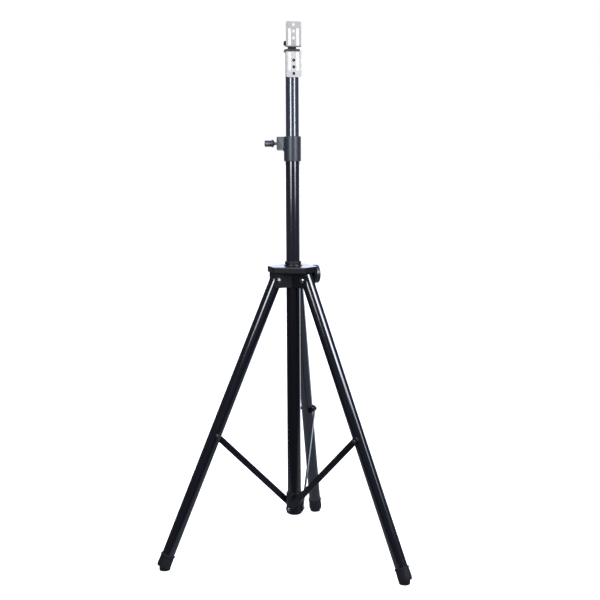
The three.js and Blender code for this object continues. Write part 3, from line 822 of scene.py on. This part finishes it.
# %% Lower bracket and tube plugs
def flatted_sleeve(node):
    low, high = measure(node, pole)
    # Each flat stands off the pole's axis as far as the sleeve's own lowest point towards that brace.
    facing = sideways(radial["right"], (0, -1, 0))
    flat = measure(node, facing)[1].z
    section = rounded(band(GUIDE_BORE, -low.x, low.z, high.z), [0.3, 1.2, 1.6, 0.3])
    sleeve = turned(node, section, pole, TUBE_SIDES)
    tools = []
    for name in LEGS:
        side = sideways(radial[name], (0, -1, 0))
        tools.append(slab("mill", oblong(low.z - 5, high.z + 5, -40, 40), flat, flat + 9, side))
    sleeve = cut(sleeve, *tools)
    return ease(sleeve, 0.35, 2, 24)


def plug(node, where, edge):
    low, high = measure(node, where)
    outer = high.x
    inner = outer - TUBE_WALL - 0.6
    wide = [p.z for p in corners_of(node, where) if Vector((p.x, p.y)).length > outer - 0.2]
    foot, top = min(wide), max(wide)
    if foot - low.z > high.z - top:
        profile = [(0, low.z), (inner, low.z), (inner, foot), (outer, foot), (outer, top), (0, top)]
        radii = [0, 1, 0.2, 0.3, edge, 0]
    else:
        profile = [(0, foot), (outer, foot), (outer, top), (inner, top), (inner, high.z), (0, high.z)]
        radii = [0, edge, 0.3, 0.2, 1, 0]
    return turned(node, rounded(profile, radii, closed=False), where, 64)


fit(flatted_sleeve("lower_bracket"), "lower_bracket", powder)
fit(plug("tube_end_plug", pole, 1.2), "tube_end_plug", plastic)
fit(plug("mast_bottom_plug", pole, 1.2), "mast_bottom_plug", plastic)

# %% [markdown]
# ## Sliding hub
# The cap is pressed from one sheet into a shallow six-sided lid. Its top edge is bent over a radius, and a
# narrow slit is left at each corner where the sides meet. It is lofted here from rings of one outline, each
# ring set in a little further, so the bend has the same radius all the way round. A low neck is welded
# round the hole for the bush.


# %% Lofted lid
def lofted(name, rings, where):
    """A solid through rings of (x, y, z) points, all with the same count, closed flat at both ends."""
    bm = bmesh.new()
    made = [[bm.verts.new(point) for point in ring] for ring in rings]
    count = len(rings[0])
    for low, high in zip(made, made[1:]):
        for i in range(count):
            j = (i + 1) % count
            bm.faces.new((low[i], low[j], high[j], high[i]))
    for ring in (made[0], made[-1]):
        bm.faces.new(ring)
    return new_piece(name, bm, where)


hub = place(pole.translation, Vector((0, 1, 0)))
cap_low, cap_high = measure("hub_cap", hub)
CAP_RAISED = 3
cap_low.z += CAP_RAISED
cap_high.z += CAP_RAISED
SHEET = 2
CAP_BEND = 1.8
NECK_RISE = 2.5
NECK_REACH = 3.5
CORNER = 5
cap_end = cap_high.x
bush_radius = 19.9
cap_corner = max((hub.inverted() @ v.co).y for v in nodes["hub_cap"].data.vertices) / MM
half_short = (cap_corner - cap_end * math.sqrt(3) / 2) * 2
cap_side = half_short * math.sqrt(3) / 2 + cap_end / 2


def cap_corners(inset):
    """The lid's six corners: three short sides across the legs, three long ones between them."""
    end, side = cap_end - inset, cap_side - inset
    half = (side - end / 2) * 2 / math.sqrt(3)
    corners = []
    for turn in range(3):
        middle = turn * 2 * math.pi / 3
        along = Vector((math.cos(middle), math.sin(middle)))
        across = Vector((-along.y, along.x))
        corners += [tuple(along * end + across * half * hand) for hand in (-1, 1)]
    return corners


def cap_solid(name, gap, bend, bottom):
    """The lid's outside when gap is 0 and its inside when gap is the sheet's thickness."""
    top = cap_high.z - gap
    rings = []
    levels = [(gap, bottom)]
    for angle in fan(6):
        levels.append((gap + bend * (1 - math.cos(angle)), top - bend * (1 - math.sin(angle))))
    for inset, height in levels:
        outline = rounded(cap_corners(inset), max(CORNER - inset, 0.4), steps=6)
        rings.append([(x, y, height) for x, y in outline])
    return lofted(name, rings, hub)


def hub_cap():
    lid = cap_solid("hub_cap", 0, CAP_BEND, cap_low.z)
    room = cap_solid("room", SHEET, 0.6, cap_low.z - 2)
    top = cap_high.z
    sweep = [(bush_radius + 3.2 + NECK_REACH * (1 - math.sin(a)), top + NECK_RISE * (1 - math.cos(a)))
             for a in fan(8)]
    neck = turned("neck", [(bush_radius - 1, top - 1), (sweep[0][0], top - 1)] + sweep
                  + [(bush_radius - 1, top + NECK_RISE)], pole, 96)
    lid = weld(lid, neck)
    bore = bush_radius + 0.3
    tools = [room, drill(bore, top - 6, top + NECK_RISE + 4, pole, 64)]
    for x, y in cap_corners(2.5):
        spoke = Vector((x, y, 0))
        where = place(pole.translation, hub.to_3x3() @ spoke)
        reach = spoke.length
        slit = oblong(reach - 3, reach + 9, -0.35, 0.35)
        tools.append(slab("slit", slit, cap_low.z - 1, cap_high.z - 3.4, where))
    lid = cut(lid, *tools)
    shade(lid.data, 28)
    return lid


fit(hub_cap(), "hub_cap", powder)
print("lid: end", round(cap_end, 1), "side", round(cap_side, 1), "mm from the axis")

# %% [markdown]
# Under the lid, three plates are folded round the pole. Each holds two neighbouring legs between its ends
# and those of its neighbours. The outline is drawn in plan with its fold rounded to the bend of the sheet,
# pushed up to height, trimmed to a curve at its lower outer corners and drilled.

# %% Folded walls
LEG_PIVOT = (Vector(joints["leg_fold_back"]["pos_m"]) - Vector((pole_x, pole_y, 0))).y / MM
PIVOT_UP = joints["leg_fold_back"]["pos_m"][2] / MM
WALLS = {"hub_wall_back_left": ("back", "left"), "hub_wall_front": ("left", "right"),
         "hub_wall_back_right": ("right", "back")}
leg_turn = {"back": 0.0, "left": 2 * math.pi / 3, "right": -2 * math.pi / 3}


def folded_wall(node, first, second):
    start = leg_turn[first]
    stop = start + 2 * math.pi / 3
    middle = (start + stop) / 2
    facing = place(pole.translation, hub.to_3x3() @ Vector((math.cos(middle), math.sin(middle), 0)))
    low, high = measure(node, facing)
    wall_end = measure(node, radial[first])[1].x
    aside_of_end = [p.y for p in corners_of(node, radial[first]) if p.x > wall_end - 0.5]
    inner, outer = min(aside_of_end), max(aside_of_end)

    def at(turn, along, aside):
        spoke = Vector((math.cos(turn), math.sin(turn)))
        return tuple(spoke * along + Vector((-spoke.y, spoke.x)) * aside)

    def fold(distance):
        reach = distance * 2 / math.sqrt(3)
        return (reach * math.cos(middle), reach * math.sin(middle))

    outline = rounded([
        fold(inner), at(start, wall_end, inner), at(start, wall_end, outer),
        fold(outer), at(stop, wall_end, -outer), at(stop, wall_end, -inner),
    ], [2, 0.5, 0.9, 4.5, 0.9, 0.5], steps=5)
    sheet = slab(node, outline, low.z, high.z, hub)
    tools = []
    for turn, side in ((start, 1), (stop, -1)):
        along = hub.to_3x3() @ Vector((math.cos(turn), math.sin(turn), 0))
        across = hub.to_3x3() @ Vector((-math.sin(turn), math.cos(turn), 0))
        here = place(pole.translation, along, across)
        # In this place x runs out along the leg, y runs down and z runs across the leg.
        level = 1 if (here.to_3x3() @ Vector((0, 1, 0))).z > 0 else -1
        spot = here @ Matrix.Translation(Vector((LEG_PIVOT, level * PIVOT_UP, 0)) * MM)
        tools.append(drill(LEG_BORE, -30, 30, spot))
        round_off = 5
        corner = [(wall_end - round_off, low.z - 2), (wall_end + 3, low.z - 2)]
        corner.append((wall_end + 3, low.z + round_off))
        arc = circle(round_off, wall_end - round_off, low.z + round_off, 8, 0, -math.pi / 2)
        shape = [(x, level * y) for x, y in corner + arc[:-1] + [(wall_end - round_off, low.z)]]
        tools.append(slab("trim", shape, -30, 30, here))
    if node == "hub_wall_back_right":
        tools.append(drill(LEG_BORE, 10, 40, lock))
    return cut(sheet, *tools)


lock_axis = Vector(joints["lock_turn"]["axis"])
lock_spot = Vector((pole_x, pole_y, joints["lock_turn"]["pos_m"][2]))
lock = place(lock_spot, UP, lock_axis)
for node, (first, second) in WALLS.items():
    fit(folded_wall(node, first, second), node, powder)

# %% [markdown]
# Two moulded bushes guide the hub on the pole. The upper one stands proud of the lid as a ring with a
# softly rounded rim; the lower one hides between the folded walls.

# %% Hub bushes
def upper_bush(node):
    low, high = measure(node, pole)
    ring = high.x
    step = cap_high.z + NECK_RISE + 0.3
    return turned(node, rounded([
        (GUIDE_BORE, low.z), (bush_radius, low.z), (bush_radius, step), (ring - 1.2, step),
        (ring - 1.2, high.z - 3.6), (ring, high.z - 3), (ring, high.z), (GUIDE_BORE, high.z),
    ], [0.3, 0.5, 0.2, 0.5, 0.8, 0.6, 1.2, 0.5]), pole, 64)


def lower_bush(node):
    low, high = measure(node, pole)
    return turned(node, rounded(band(GUIDE_BORE, -low.x, low.z, high.z), 0.6), pole, 64)


fit(upper_bush("hub_bush_upper"), "hub_bush_upper", bush_plastic)
fit(lower_bush("hub_bush_lower"), "hub_bush_lower", plastic)

# %% [markdown]
# ## Screws and knobs
# A thread is one long ridge, so its mesh is a grid round the shank whose radius rises and falls with height
# plus turn. That gives a real helix which catches the light as fine slanting lines.


# %% Threaded screws
def threaded(name, radius, start, stop, pitch, where, sides=20, steps=5):
    bm = bmesh.new()
    count = max(2, int((stop - start) / pitch * steps))
    rings = []
    for level in range(count + 1):
        height = start + (stop - start) * level / count
        ends = min(1.0, (height - start) / pitch, (stop - height) / pitch)
        ring = []
        for i in range(sides):
            share = (height / pitch - i / sides) % 1.0
            depth = abs(share - 0.5) * 2 * 0.55 * pitch * ends + (1 - ends) * 0.55 * pitch
            angle = 2 * math.pi * i / sides
            reach = radius - depth
            ring.append(bm.verts.new((reach * math.cos(angle), reach * math.sin(angle), height)))
        rings.append(ring)
    for low, high in zip(rings, rings[1:]):
        for i in range(sides):
            j = (i + 1) % sides
            bm.faces.new((low[i], low[j], high[j], high[i]))
    bm.faces.new(rings[0])
    bm.faces.new(rings[-1])
    return new_piece(name, bm, where)


def hexagon_nut(node, bore, where):
    low, high = measure(node, where)
    corner = max(high.x, high.y)
    nut = slab(node, circle(corner, steps=6), low.z - 1, high.z + 1, where)
    middle = (low.z + high.z) / 2
    half = (high.z - low.z) / 2
    flat = corner * math.sqrt(3) / 2
    barrel = turned("barrel", [
        (0, middle - half), (flat - 0.2, middle - half), (corner + 0.2, middle - half + 1.4),
        (corner + 0.2, middle + half - 1.4), (flat - 0.2, middle + half), (0, middle + half),
    ], where, 48)
    combine(nut, [barrel], "INTERSECT")
    return cut(nut, drill(bore, low.z - 2, high.z + 2, where))


clamp_spot = Vector((pole_x, pole_y, joints["clamp_turn"]["pos_m"][2]))
clamp = place(clamp_spot, UP, Vector(joints["clamp_turn"]["axis"]))
SCREW_PITCH = 1.25
for node, where in (("clamp_screw", clamp), ("hub_lock_screw", lock)):
    low, high = measure(node, where)
    fit(threaded(node, high.x, low.z, high.z, SCREW_PITCH, where), node, steel)
fit(hexagon_nut("hub_lock_nut", LEG_BORE, lock), "hub_lock_nut", steel)
fit(hexagon_nut("collar_nut", LEG_BORE, clamp), "collar_nut", steel)

# %% [markdown]
# The clamp's knob is a small moulded handle: a coned flange towards the collar, a waist, and a body with
# shallow grip flutes. The lock's knob is a broad disc with a rounded rim and a raised boss in its middle.

# %% Knobs
FLUTES = 10


def clamp_knob(node):
    low, high = measure(node, clamp)
    foot, end, flange = low.z, high.z, high.x
    body = flange - 1.9
    knob = turned(node, rounded([
        (0, foot), (5.2, foot), (flange, foot + 4.6), (flange, foot + 6.4), (body - 1, foot + 8.2),
        (body, foot + 10), (body, end), (5.2, end), (4.4, end - 0.7), (0, end - 0.7),
    ], [0, 0.5, 1, 0.7, 1, 1, 1.6, 0.3, 0.3, 0], closed=False), clamp, 72)
    tools = [drill(LEG_BORE, foot - 1, end - 4, clamp)]
    groove = [(0, foot + 11), (1.5, foot + 11), (1.5, end - 3), (0, end - 3)]
    flute = rounded(groove, [0, 1.2, 1.2, 0], closed=False)
    reach = body + 1
    for step in range(FLUTES):
        angle = 2 * math.pi * step / FLUTES
        spot = Vector((reach * math.cos(angle), reach * math.sin(angle), 0)) * MM
        tools.append(turned("flute", flute, clamp @ Matrix.Translation(spot), 16))
    return cut(knob, *tools)


def lock_knob(node):
    low, high = measure(node, lock)
    foot, end, rim = low.z, high.z, high.x
    return turned(node, rounded([
        (LEG_BORE, foot), (8, foot), (8.6, foot + 1.2), (rim - 3, foot + 1.4), (rim, foot + 3),
        (rim, end - 1.2), (rim - 3, end), (rim - 7, end - 0.6), (9, end - 1.6), (7.4, end - 0.2),
        (0, end - 0.2), (0, end - 3), (LEG_BORE, end - 3),
    ], [0.3, 0.5, 0.5, 1.2, 1.6, 1.4, 1.5, 0.8, 0.8, 0.8, 0, 0, 0.2], closed=False), lock, 96)


fit(clamp_knob("clamp_knob"), "clamp_knob", knob_gloss)
fit(lock_knob("hub_lock_knob"), "hub_lock_knob", knob_gloss)
print("knobs done")

# %% [markdown]
# ## Collar
# The collar is one moulding: a round body, and a lug with parallel sides that holds the clamp's nut. The
# mould leaves a raised rim round the lug's faces, a chamfered lower corner and a fillet where the lug meets
# the body.

# %% Collar
def collar(node):
    low, high = measure(node, clamp)
    body_low, body_high = measure(node, pole)
    bottom, top, outer = body_low.z, body_high.z, body_high.x
    body = turned(node, rounded([
        (GUIDE_BORE, bottom), (outer - 0.2, bottom), (outer, bottom + 2), (outer, top), (GUIDE_BORE, top),
    ], [0.3, 0.8, 1, 1.6, 0.4]), pole, TUBE_SIDES)
    lug_end = high.z
    half = 11
    level = clamp_spot.z / MM
    lug_low, lug_high = level - 17, level + 17
    side = place(pole.translation, Vector((1, 0, 0)), Vector((0, -1, 0)))
    outline = [
        (-14, lug_high), (-lug_end, lug_high), (-lug_end, lug_low + 2.5), (-lug_end + 2.5, lug_low),
        (-outer - 0.6, lug_low), (-outer + 1.5, lug_low - 3.5), (-14, lug_low - 5),
    ]
    lug = slab("lug", rounded(outline, [0, 1.6, 0.8, 0.8, 2, 2, 0]), -half, half, side)
    ease(lug, 0.7, 3, 50)
    panel = rounded([
        (-outer - 0.4, lug_high - 2.6), (-lug_end + 2.6, lug_high - 2.6), (-lug_end + 2.6, lug_low + 4),
        (-outer - 0.4, lug_low + 4),
    ], 1.2)
    front = slab("panel", panel, half - 0.7, half + 2, side)
    back = slab("panel", panel, -half - 2, -half + 0.7, side)
    lug = cut(lug, front, back)
    room = drill(GUIDE_BORE + 0.03, bottom - 2, top + 2, pole, TUBE_SIDES)
    pocket = slab("pocket", circle(7.86, steps=6), lug_end - 6.8, lug_end + 2, clamp)
    screw_way = drill(LEG_BORE, GUIDE_BORE - 2, lug_end + 2, clamp)
    made = cut(weld(body, lug), room, pocket, screw_way)
    shade(made.data, 30)
    return made


fit(collar("collar_body"), "collar_body", plastic)
print("collar done")

# %% [markdown]
# ## Head
# The tilt post is a block with a square foot and a round-topped tongue. The clevis is a fork with two
# cheeks that straddle the tongue. Both are cut from an outline seen from the side and then eased.

# %% Tilt post and clevis
head_side = place(head.translation, head.to_3x3() @ Vector((0, 1, 0)), head.to_3x3() @ Vector((1, 0, 0)))
# In head_side x runs along the head's y and y runs along z.
across_tilt = head_side @ Matrix.Translation((0, tilt_height * MM, 0))
RIVETS = ("clevis_rivet_lower", "clevis_rivet_upper")


def rivet_place(node):
    """Where a rivet goes through the plate, with +Z forward."""
    low, high = measure(node, head)
    return sideways(head, (0, -1, 0), (0, 0, (low.z + high.z) / 2))


def tilt_post(node):
    low, high = measure(node, head)
    base_top = low.z + 4.7
    edge = 17
    base = slab(node, rounded(oblong(-edge, edge, -edge, edge), 2.2), low.z, base_top, head)
    ease(base, 0.5, 2, 50)
    radius = high.z - tilt_height
    root = [(-radius - 1.5, base_top - 1), (radius + 1.5, base_top - 1), (radius, base_top + 2)]
    outline = rounded(root, [0, 0, 1]) + circle(radius, 0, tilt_height, 24, 0, math.pi)
    tongue = slab("tongue", outline + [(-radius, base_top + 2)], -radius, radius, head_side)
    ease(tongue, 0.5, 2, 50)
    post = weld(base, tongue)
    pivot_hole = drill(BRACE_BORE, -radius - 2, radius + 2, across_tilt)
    return cut(post, pivot_hole, drill(LEG_BORE, low.z - 1, base_top + 5, head))


def clevis(node):
    low, high = measure(node, head)
    front, half = low.y, high.x
    inner, sheet = 9.3, half - 9.3
    round_end = tilt_height - low.z
    arc = circle(round_end, 0, tilt_height, 20, -math.pi / 2, math.pi / 2)
    outline = rounded([(front + sheet, high.z), (front, high.z), (front, low.z)], [1, 1, 1], closed=False)
    fork = slab(node, outline + arc, -half, half, head_side)
    ease(fork, 0.5, 2, 50)
    throat = slab("throat", rounded(oblong(front + sheet, round_end + 3, -inner, inner), 1.2),
                  low.z - 2, high.z + 2, head_side @ Matrix.Rotation(math.pi / 2, 4, "X"))
    tools = [throat, drill(BRACE_BORE, -half - 2, half + 2, across_tilt)]
    tools += [drill(2.3, -front - sheet - 1, -front + 1, rivet_place(rivet)) for rivet in RIVETS]
    return cut(fork, *tools)


fit(tilt_post("tilt_post"), "tilt_post", powder)
fit(clevis("tilt_clevis"), "tilt_clevis", powder)

# %% [markdown]
# The brackets are strips of zinc-plated sheet, bent once and pressed with two grooves that stiffen them.
# The bent strip is drawn as an outline from the side with the bend as two arcs about one centre. Then its
# corners are rounded, its holes punched, and its grooves pressed with a tool that has rounded edges.
# The floor of each groove takes a second, brighter material, a painted highlight for the light its curved
# floor catches.

# %% Angle brackets
PRESS = 1.0
PLATE_SHEET = 2
BEND_INSIDE = 1.2
GROOVE_HALF = 3.75
LIP_BELOW = 1
TOP_BELOW = 1.4
HOLE_RADIUS = 3.75
HOLE_PITCH = 16
GROOVE_ASIDE = 10
GROOVE_FROM_END = 16
PLATE_CORNER = 4.2
LEAF_CORNER = 8


def angle_bracket(node, plate_goes, leaf_back, first_hole, holes_go, bend_down=0, top_down=0):
    """A plate standing at the front and a leaf going back; plate_goes is +1 up from the leaf or -1 down."""
    low, high = measure(node, head)
    half, front = high.x, low.y
    if plate_goes > 0:
        bend_z, free_z = low.z - bend_down, high.z - top_down
    else:
        bend_z, free_z = high.z, low.z
    inside = bend_z + plate_goes * PLATE_SHEET
    outline = [
        (front, free_z), (front, bend_z), (leaf_back, bend_z), (leaf_back, inside),
        (front + PLATE_SHEET, inside), (front + PLATE_SHEET, free_z),
    ]
    bend = [0, BEND_INSIDE + PLATE_SHEET, 0, 0, BEND_INSIDE, 0]
    strip = slab(node, rounded(outline, bend, steps=6), -half, half, head_side)
    face = sideways(head, (0, -1, 0))
    # In face x runs up and y runs to the plate's left or right, and z runs forward.
    tools = []
    level = free_z - plate_goes * PLATE_CORNER
    far = free_z + plate_goes * 2
    for hand in (-1, 1):
        edge = hand * half
        aside = edge - hand * PLATE_CORNER
        arc = [(level + plate_goes * PLATE_CORNER * math.cos(a), aside + hand * PLATE_CORNER * math.sin(a))
               for a in fan(8)]
        shape = [(far, aside)] + arc + [(level, edge + hand * 2), (far, edge + hand * 2)]
        tools.append(slab("corner", shape, -front - 4, -front + 4, face))
    for step in range(3):
        spot = face @ Matrix.Translation(((first_hole + holes_go * HOLE_PITCH * step) * MM, 0, 0))
        tools.append(drill(HOLE_RADIUS, -front - 4, -front + 4, spot))
    strip = cut(strip, *tools)
    grooves = []
    start = free_z - plate_goes * GROOVE_FROM_END
    stop = bend_z + plate_goes * 3
    for hand in (-1, 1):
        middle = hand * GROOVE_ASIDE
        level = start - plate_goes * GROOVE_HALF
        groove = [(level + plate_goes * GROOVE_HALF * math.cos(a), middle + GROOVE_HALF * math.sin(a))
                  for a in fan(14, -math.pi / 2, math.pi / 2)]
        groove += [(stop, middle + GROOVE_HALF), (stop, middle - GROOVE_HALF)]
        tool = slab("groove", groove, -front - PRESS, -front + 3, face)
        grooves.append(ease(tool, 0.8, 3, 50))
    strip = cut(strip, *grooves)
    if plate_goes < 0:
        leaf = place(head.translation, head.to_3x3().col[0])
        trims = []
        for hand in (-1, 1):
            x, y, reach = hand * half, leaf_back, LEAF_CORNER
            past = x + hand * 2
            shape = [(x - hand * reach, y + 2), (past, y + 2), (past, y - reach), (x, y - reach)]
            shape += [(x - hand * reach * (1 - math.cos(a)), y - reach * (1 - math.sin(a)))
                      for a in fan(8)[1:]]
            trims.append(slab("trim", shape, bend_z - 6, bend_z + 4, leaf))
        strip = cut(strip, *trims)
    return strip


def paint_groove_highlight(piece, front):
    """Gives the second material, a painted highlight, to the faces sunk into the plate's front between the
    grooves' edges.
    """
    inverse = head.inverted() @ piece.matrix_world
    for polygon in piece.data.polygons:
        spot = (inverse @ polygon.center) / MM
        sunk = front + 0.3 < spot.y < front + PRESS + 0.2
        if sunk and abs(abs(spot.x) - GROOVE_ASIDE) < GROOVE_HALF + 0.2 and polygon.area > 0:
            polygon.material_index = 1


upper_low, upper_high = measure("upper_angle_bracket", head)
lower_low, lower_high = measure("lower_angle_bracket", head)
upper = angle_bracket("upper_angle_bracket", 1, -12, upper_high.z - 9, -1, LIP_BELOW, TOP_BELOW)
upper = cut(upper, *[drill(2.15, 10, 30, rivet_place(rivet)) for rivet in RIVETS])
ease(upper, 0.35, 2, 50)
fit(upper, "upper_angle_bracket", zinc_painted_shade, groove_painted_highlight)
paint_groove_highlight(upper, upper_low.y)
lower = angle_bracket("lower_angle_bracket", -1, lower_high.y, lower_low.z + 9, 1)
lower = cut(lower, drill(LEG_BORE, lower_high.z - 6, lower_high.z + 4, head))
ease(lower, 0.35, 2, 50)
fit(lower, "lower_angle_bracket", zinc, groove_painted_highlight)
paint_groove_highlight(lower, lower_low.y)
print("brackets done")

# %% [markdown]
# The last fasteners of the head are two rivets, the tilt bolt with its washers and nut, the bolt under the
# post, and the plug that closes the mast. Each takes its lengths from its CAD node.

# %% Fasteners of the head
def rivet_piece(node):
    spot = rivet_place(node)
    low, high = measure(node, spot)
    return turned(node, rounded([
        (0, low.z), (2.8, low.z), (2.8, low.z + 1.5), (2, low.z + 1.5), (2, high.z), (0, high.z),
    ], [0, 0.9, 0.2, 0, 0.5, 0], closed=False), spot, 32)


def washer(node):
    low, high = measure(node, across_tilt)
    return turned(node, rounded(band(BRACE_BORE, high.x, low.z, high.z), 0.4), across_tilt, 48)


def tilt_bolt(node):
    across = across_tilt @ Matrix.Rotation(math.pi, 4, "X")
    low, high = measure(node, across)
    seat = high.z - 5.6
    bolt = turned(node, rounded([
        (0, low.z), (BRACE_BOLT, low.z), (BRACE_BOLT, seat), (6, seat), (6, high.z), (0, high.z),
    ], [0, 0.5, 0, 0.4, 1, 0], closed=False), across, 56)
    return cut(bolt, slab("key", circle(2.9, steps=6), high.z - 2.6, high.z + 1, across))


for node in RIVETS:
    fit(rivet_piece(node), node, rivet_zinc)
for node in ("tilt_washer_left", "tilt_washer_right"):
    fit(washer(node), node, powder)
fit(tilt_bolt("tilt_bolt"), "tilt_bolt", powder)
fit(hexagon_nut("tilt_nut", BRACE_BORE, across_tilt), "tilt_nut", steel)
top_plug = plug("mast_top_plug", pole, 0.6)
plug_low, plug_high = measure("mast_top_plug", pole)
top_plug = cut(top_plug, drill(LEG_BORE, plug_low.z - 1, plug_high.z + 1, pole))
fit(top_plug, "mast_top_plug", plastic)
print("head done,", len(fitted), "pieces fitted")

# %% [markdown]
# Pieces that sit wholly inside others keep their CAD shape. They still get the finish that their slot
# names, so an exploded view looks right.

# %% Finishes for carried-over nodes
FINISH_OF_SLOT = {
    "gloss_black_paint": tube_paint,
    "satin_black_paint": powder,
    "grey_black_plastic": plastic,
    "knob_plastic": knob_gloss,
    "black_rubber": rubber,
    "zinc_plate": zinc,
    "bright_steel": steel,
}
for node in ("collar_liner", "post_bolt"):
    mesh = nodes[node].data
    slot_name = mesh.materials[0].name.split(".")[0]
    mesh.materials.clear()
    mesh.materials.append(FINISH_OF_SLOT[slot_name])
    print(node, "keeps its shape and takes", slot_name)

# %% [markdown]
# ## Floor, surroundings and lamps
# The stand is shown on white. Its gloss paint needs something dark to reflect, or it would look grey: so
# the surroundings are white only where the camera looks straight at them, and elsewhere dark near the floor
# and brighter overhead. Reflections also find a narrow bright backcloth behind the stand and one high
# window to the right.

# %% World
COOL = (0.74, 0.82, 1.0)
WHITE = (1, 1, 1)
WINDOW_AT = (0.797, -0.29, 0.53)
world = bpy.data.worlds.new("studio")
bpy.context.scene.world = world
world.use_nodes = True
sky = Shade(world.node_tree, None)
backdrop = world.node_tree.nodes["Background"]
seen = sky.out("ShaderNodeLightPath", output=0)
direction = sky.out("ShaderNodeTexCoord", output=0)
height = direction.axis(2)
depth = direction.axis(1)
overhead = height.above(0.5, 0.9)
room = height.above(-0.03, 0.06)
aside = direction.axis(0) + 0.17
narrow = 1 - aside.maths("ABSOLUTE", aside, 0).above(0.2, 0.4)
backcloth = depth.above(0.5, 0.8) * height.above(0.04, 0.11) * narrow
toward = sky.out("ShaderNodeVectorMath", {"operation": "DOT_PRODUCT"}, 1, _0=direction, _1=WINDOW_AT)
window = toward.above(0.971, 0.994)
reflected = 0.03 + room * 0.09 + overhead * 0.5 + backcloth * 3.5 + window * 11
tint = seen.between(COOL, WHITE)
world.node_tree.links.new(tint.socket, backdrop.inputs["Color"])
world.node_tree.links.new((reflected + seen * (1.0 - reflected)).socket, backdrop.inputs["Strength"])
bpy.context.scene.view_settings.view_transform = "Standard"

# %% [markdown]
# The floor is a plain plane. Seen directly it is white, with a faint shadow round each foot. To every other
# ray it is a dark floor with pale paper under the stand and a brighter sweep behind it, which gives the
# leaning tubes a grey side and leaves their outlines dark.

# %% Floor
floor_mesh = bpy.data.meshes.new("floor")
FLOOR_REACH = 40
square = oblong(-FLOOR_REACH, FLOOR_REACH, -FLOOR_REACH, FLOOR_REACH)
floor_mesh.from_pydata([(x, y, 0) for x, y in square], [], [(0, 1, 2, 3)])
floor = bpy.data.objects.new("floor", floor_mesh)
floor.location.z = -0.0006
bpy.context.scene.collection.objects.link(floor)
floor_paint = Finish("floor", Roughness=0.9, Specular_IOR_Level=0.0)
straight = floor_paint.start.out("ShaderNodeLightPath", output=0)
across = floor_paint.place.axis(0)
depth = floor_paint.place.axis(1)
middle = (pole_x, pole_y, 0)
measured = {"operation": "DISTANCE"}
spread = floor_paint.start.out("ShaderNodeVectorMath", measured, 1, _0=floor_paint.place, _1=middle)
paper = across.above(-1.2, -0.5) * (1 - across.above(0.9, 1.5)) * depth.above(-0.65, -0.3) * 0.36
wedge = across.maths("DIVIDE", across, depth)
sweep = depth.above(0.55, 0.85) * wedge.above(-0.45, -0.35) * (1 - wedge.above(0.9, 1.2)) * 1.6
far = spread.above(4, 9) * 0.2 + 0.04
floor_paint.drive(Base_Color=straight.between((0.02, 0.02, 0.02), (0.9, 0.9, 0.9)))
floor_paint.drive(Emission_Color=straight.between(COOL, WHITE))
glow = straight * 0.9 + (1 - straight) * (paper + sweep + far)
floor_paint.tree.links.new(glow.socket, floor_paint.shader.inputs["Emission Strength"])
floor_mesh.materials.append(floor_paint.material)

# %% [markdown]
# Two tall soft boxes stand in front, one to the left and one to the right. On a round tube each becomes an
# upright white stripe. A short, weak box hangs below each of them, so the stripes fade out below the hub
# instead of ending at once.

# %% Lamps


BOX_DISTANCE = 1.15
BOX_WIDTH = 0.4
BOXES = (("left", -27.5, 0.9), ("right", 43, 0.7))


def soft_box(name, round_angle, middle, tall, power):
    """An area lamp facing the pole; the angle is measured round the pole from the camera, right positive."""
    angle = CAMERA_ROUND + math.radians(round_angle)
    data = bpy.data.lights.new(name, "AREA")
    data.shape = "RECTANGLE"
    data.size = BOX_WIDTH
    data.size_y = tall
    data.energy = power
    data.color = (0.92, 0.95, 1.0)
    lamp = bpy.data.objects.new(name, data)
    spot = Vector((pole_x + math.sin(angle) * BOX_DISTANCE, pole_y - math.cos(angle) * BOX_DISTANCE, middle))
    backwards = Vector((math.sin(angle), -math.cos(angle), 0))
    lamp.matrix_world = place(spot, UP.cross(backwards), backwards)
    lamp.visible_camera = False
    bpy.context.scene.collection.objects.link(lamp)
    return lamp


lamps = []
for side, round_angle, foot_power in BOXES:
    lamps.append(soft_box(f"{side} box", round_angle, 1.455, 0.95, 17))
    lamps.append(soft_box(f"{side} box foot", round_angle, 0.92, 0.12, foot_power))
for lamp in lamps:
    print(lamp.name, "at", [round(v, 2) for v in lamp.location])
